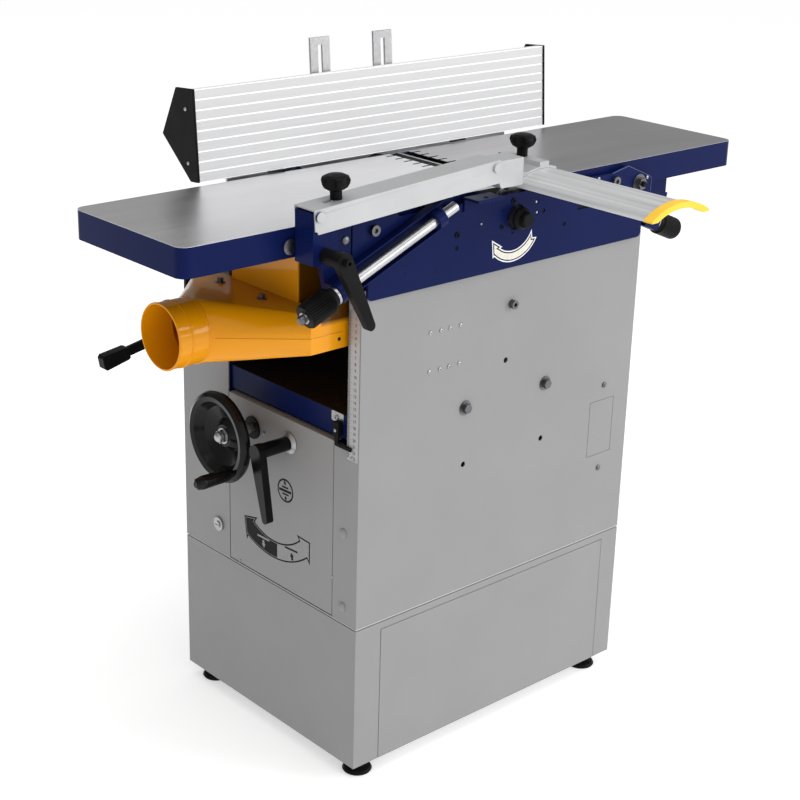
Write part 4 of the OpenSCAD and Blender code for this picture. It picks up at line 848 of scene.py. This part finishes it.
# %% Screws
DRIVE_ROW = PLINTH_TOP + 390.0
PLATE_DARK = [(-124.7, 881.7, 4.6), (-8.6, 916.6, 4.4), (-30.6, 879.1, 3.6), (-6.5, 866.2, 1.9),
              (-29.5, 903.8, 1.8)]
PLATE_LIGHT = [(-75.4, 891.0, 1.8), (184.4, 923.5, 3.2), (304.0, 909.8, 3.2)]
PIPS_X, PIPS_Z = (-168, -146, -127, -105), (674, 736)
DRIVE_PLACES = ([(x, z) for x in (-290, 290) for z in (300, 490, DRIVE_ROW)]
                + [(x, DRIVE_ROW) for x in (-120, 60, 230)] + [(x, 922) for x in (-30, 130)])
SCREWS = (
    ("plate_set_screws", "cap_head", BLACK, "frame", "black_plastic",
     [(x, PLATE_Y + 0.55 * r, z, FRONT, r) for x, z, r in PLATE_DARK]),
    ("plate_small_screws", "dome_head", ZINC, "frame", "steel",
     [(x, PLATE_Y, z, FRONT, r) for x, z, r in PLATE_LIGHT]),
    ("left_panel_screws", "dome_head", ZINC, "frame", "steel",
     [(LEFT_X, y, z, LEFT, 2.6) for y, z in ((5.1, 535.4), (71.7, 284.8), (-166.9, 348.9))]),
    ("ruler_screws", "dome_head", ZINC, "frame", "steel",
     [(RULER_X, -211.0, z, LEFT, 2.8) for z in (798.0, 564.0)]),
    ("drive_cover_screws", "dome_head", ZINC, "frame", "steel",
     [(x, REAR_Y, z, REAR, 4.0) for x, z in DRIVE_PLACES]),
    ("end_panel_screws", "dome_head", ZINC, "frame", "steel",
     [(RIGHT_X, y, z, RIGHT, 3.6) for y in (-150, 80) for z in (296, 562)]),
    ("fence_cap_screws", "rivet_head", ZINC, "fence_body", "steel",
     [(x, y, z, face, r) for x, face in ((-393.0, LEFT), (352.0, RIGHT))
      for y, z, r in ((78.3, 1048.9, 3.2), (73.3, 968.7, 3.0))]),
    ("front_panel_pips", "dome_head", ZINC, "frame", "steel",
     [(x, FRONT_Y, z, FRONT, 3.4) for x in PIPS_X for z in PIPS_Z]),
    ("painted_domes", "rivet_head", GREY, "frame", "grey_paint",
     [(LEFT_X, -192.0, z, LEFT, 8.2) for z in (307, 433)]),
    ("lift_plate_screws", "dome_head", ZINC, "lift_table", "steel",
     [(-301.0, -168.7, 615.5, LEFT, 4.2), (-310.0, -174.9, 598.5, LEFT, 2.8)]),
    ("outfeed_side_screws", "rivet_head", OILED_STEEL, "left_table", "dark_iron",
     [(-341.0, -229.0, 909.0, FRONT, 7.0)]),
    ("lever_screw", "cap_head", INK, "clamp", "black_plastic", [(-405.0, -308.6, 906.0, FRONT, 5.6)]),
)
for group in SCREWS:
    heads(*group)
print("screws:", sum(len(group[-1]) for group in SCREWS), "in", len(SCREWS), "groups")

# %% [markdown]
# Small turned pieces finish the moving parts: the steel ring and the clamping nut on each ribbed knob, the
# stud that comes through it, the pin ends of the guard's arm and its bracket, and the stud's end on the
# blue plate's right ear.

# %% Turned pieces
OUT_FOOT, OUT_AXIS = (-184, -250, 920), (-0.9245, 0, -0.381)
IN_FOOT, IN_AXIS = (184, -193, 896), (0.9245, 0, -0.381)
COLLAR_RING = [(9.0, 206.2), (13.8, 206.2), (14.2, 206.8), (14.2, 210.2), (13.8, 210.8), (9.0, 210.8)]
KNOB_NUT = [(6.0, 261.4, True), (10.2, 261.4, True), (10.2, 267.0, True), (9.0, 267.8), (6.6, 267.8)]
KNOB_STUD = [(6.45, 267.2), (6.45, 275.2), (5.6, 276.4), (0.4, 276.5)]
PIN_END = [(7.4, 0.0), (7.4, 0.7), (6.6, 1.4), (3.2, 1.5), (0.4, 1.5)]
BRACKET_PIN = [(11.4, 0.0), (11.4, 0.9), (10.6, 1.4), (0.5, 1.5)]
STUD_END = [(4.6, 0.0), (4.6, 5.4), (3.9, 6.2), (0.4, 6.3)]
turned_pieces = []
for side, foot, axis in (("left", OUT_FOOT, OUT_AXIS), ("right", IN_FOOT, IN_AXIS)):
    for title, profile, finish, slot in (("_collar_ring", COLLAR_RING, STEEL, "steel"),
                                         ("_knob_nut", KNOB_NUT, ZINC, "steel"),
                                         ("_knob_stud", KNOB_STUD, OILED_STEEL, "dark_iron")):
        turned_pieces.append((side + title, foot, axis, profile, finish, side + "_knob", slot))
turned_pieces += [
    ("arm_pin_end", (-417.0, -267.4, 961.6), FRONT, PIN_END, ARM_METAL, "left_table", "steel"),
    ("bracket_pin_end", (-434.0, -222.5, 914.0), FRONT, BRACKET_PIN, OILED_STEEL, "left_table", "dark_iron"),
    ("ear_stud", (284.0, -238.0, 903.0), FRONT, STUD_END, INK, "frame", "dark_iron")]
for name, foot, axis, profile, finish, body, slot in turned_pieces:
    settle(name, skin([turned(foot, axis, profile)]), finish, body)
print("turned pieces:", len(turned_pieces))

# %% [markdown]
# A bead stiffens the mouth of the dust tube, and a raised seam runs along the flare where its two halves are
# pressed together. Both are a thin round rod that follows a path, so one Geometry Nodes tree makes them.

# %% Tree for a rod along a path
def rod_tree():
    tree, start, end = new_tree("rod_along_path", ("Path", "Geometry"), ("Radius", "Float"), ("Finish", "Material"))
    curve, ring = tree.nodes.new("GeometryNodeMeshToCurve"), tree.nodes.new("GeometryNodeCurvePrimitiveCircle")
    ring.inputs["Resolution"].default_value = 10
    sweep = tree.nodes.new("GeometryNodeCurveToMesh")
    sweep.inputs["Fill Caps"].default_value = True
    join(tree, (start["Path"], curve.inputs["Mesh"]), (start["Radius"], ring.inputs["Radius"]),
               (curve.outputs["Curve"], sweep.inputs["Curve"]),
               (ring.outputs["Curve"], sweep.inputs["Profile Curve"]))
    painted(tree, sweep.outputs["Mesh"], start["Finish"], end)
    return tree


ROD = rod_tree()


def rod(name, path, radius, finish, body, closed=False):
    mesh = bpy.data.meshes.new("path")
    edges = [(i, i + 1) for i in range(len(path) - 1)] + ([(len(path) - 1, 0)] if closed else [])
    mesh.from_pydata([at(*point) for point in path], edges, [])
    return settle(name, grown(ROD, mesh, Radius=radius * 0.001, Finish=finish), finish, body)


TUBE_CENTRE, TUBE_R = (-30.0, 750.0), 50.0
SEAM_PATH = [(-462.0, -84.8, 750.4), (-370.0, -190.2, 758.4), (-312.0, -190.2, 758.4)]
for name, x, size in (("hood_mouth_bead", -518.4, 1.0), ("hood_tube_bead", -497.0, 1.2),
                      ("hood_flare_bead", -468.0, 0.9)):
    circle = [(x, *point) for point in arc(TUBE_CENTRE, TUBE_R, 0, 355, 71)]
    rod(name, circle, size, ORANGE, "frame", closed=True)
rod("hood_seam", SEAM_PATH, 0.8, ORANGE, "frame")
heads("hood_plug", "rivet_head", RUBBER, "frame", "rubber", [(-317.2, -190.0, 748.3, FRONT, 2.8)])
print("beads on the hood: 3, seam points:", len(SEAM_PATH))

# %% [markdown]
# A bright plate is screwed to the corner of the rising table, and the pointer is set by it. Under the fence
# are the two plastic glides that it slides on.

# %% Corner plate and fence glides
def slab(low, high):
    corners = [(low[0], low[2]), (high[0], low[2]), (high[0], high[2]), (low[0], high[2])]
    return [[(x, y, z) for x, z in corners] for y in (low[1], high[1])]


plate_outline = [(-156.0, 609.5), (-156.0, 622.5), (-157.5, 624.0), (-182.5, 624.0), (-184.0, 622.5),
                 (-184.0, 609.5), (-182.5, 608.0), (-157.5, 608.0)]
plate_skin = skin([[[(x, y, z) for y, z in plate_outline] for x in (-300.0, -301.2)]])
settle("table_corner_plate", plate_skin, ZINC, "lift_table")
GLIDE_Z = TABLE_Z + 1.0
for name, left, right in (("left_fence_glide", -261.0, -231.0), ("right_fence_glide", 123.0, 156.0)):
    glide = skin([slab((left, 46.5, GLIDE_Z), (right, 53.0, GLIDE_Z + 2.4))])
    settle(name, glide, BLACK, "fence_body")
print("corner plate and glides stand on", GLIDE_Z)

# %% [markdown]
# The plinth's sheet is folded over along its top edge. The fold is given a paler grey than the panels, a
# painted highlight: a thin pale line all the way round the cabinet, just under the dark joint.

# %% Folded top edge of the plinth
FOLD_R, FOLD_Z = 0.8, PLINTH_TOP - 1.0
plinth_edge = [(LEFT_X, FRONT_Y, FOLD_Z), (RIGHT_X, FRONT_Y, FOLD_Z), (RIGHT_X, REAR_Y, FOLD_Z),
               (LEFT_X, REAR_Y, FOLD_Z)]
# The paler grey of the fold is a painted highlight.
FOLD_HIGHLIGHT = coated("painted_highlight_fold", (0.52, 0.52, 0.525), (0.48, 0.48, 0.485), 0.35, shine=0.3)
rod("plinth_folded_edge", plinth_edge, FOLD_R, FOLD_HIGHLIGHT, "frame", closed=True)
print("plinth edge:", 2 * (RIGHT_X - LEFT_X + REAR_Y - FRONT_Y) / 1000, "m of fold")

# %% [markdown]
# The sheets don't touch where they meet. On the left side a near-black strip is laid in each gap as painted
# shade, so the joint behind the end panel, the one in front of it and the one over the plinth all read as dark lines.

# %% Painted shade in the left side's joints
REAR_JOINT, FRONT_JOINT, PLINTH_JOINT = 97.6, -167.0, 280.6
joint_shade_strips = []
for (y, wide), (z, high) in (((REAR_JOINT, 1.3), (281.0, 303.0)), ((FRONT_JOINT, 0.5), (281.0, 303.0)),
                             ((FRONT_JOINT, REAR_JOINT - FRONT_JOINT), (PLINTH_JOINT, 1.4))):
    strip = [(y, z), (y + wide, z), (y + wide, z + high), (y, z + high)]
    joint_shade_strips.append(film(strip, ground, on_left(0.10)))
# Near-black strips in the joints: painted shade.
settle("left_joint_foam", skin(joint_shade_strips), INK, "frame")
print("foam strips:", len(joint_shade_strips))

# %% [markdown]
# All five small holes of the blue plate get a near-black disc set inside them, painted shade, and two of
# them a bright plug in front of it. The slot under the guard has a near-black strip in it, painted shade as
# well. A thin pale line along the edge of the plate's right ear is a painted highlight.

# %% Painted shade in the blue plate's holes and slot, bright plugs, and the ear's painted highlight
HOLE_FACE, BRIGHT_HOLES = -228.2, [(44, 907), (46, 890)]
SHADED_HOLES = [(-125, 861.5), (60, 891), (109, 862)] + BRIGHT_HOLES
# Near-black discs inside the holes: painted shade.
heads("dark_hole_plugs", "rivet_head", INK, "frame", "black_plastic",
      [(x, HOLE_FACE + 0.6, z, FRONT, 3.42) for x, z in SHADED_HOLES])
heads("bright_hole_plugs", "rivet_head", ZINC, "frame", "steel",
      [(x, HOLE_FACE, z, FRONT, 2.6) for x, z in BRIGHT_HOLES])
# Near-black strip inside the slot: painted shade.
settle("slot_strip", skin([slab((139.1, -227.6, 880.1), (171.9, -226.4, 885.9))]), INK, "frame")
# The paler blue of the ear's edge is a painted highlight.
BLUE_EDGE_HIGHLIGHT = coated("painted_highlight_blue_edge", (0.10, 0.13, 0.26), (0.07, 0.09, 0.20), 0.35, shine=0.3)
ear_edge = [(218.0, 928.0), (256.0, 935.0), (308.0, 913.0), (316.0, 908.0), (316.0, 885.0)]
ear_path = [(x - 0.3, PLATE_Y + 0.3, z - 0.3) for x, z in ear_edge]
rod("ear_worn_edge", ear_path, 0.5, BLUE_EDGE_HIGHLIGHT, "frame")
print("plugged holes:", len(SHADED_HOLES), "ear edge points:", len(ear_edge))
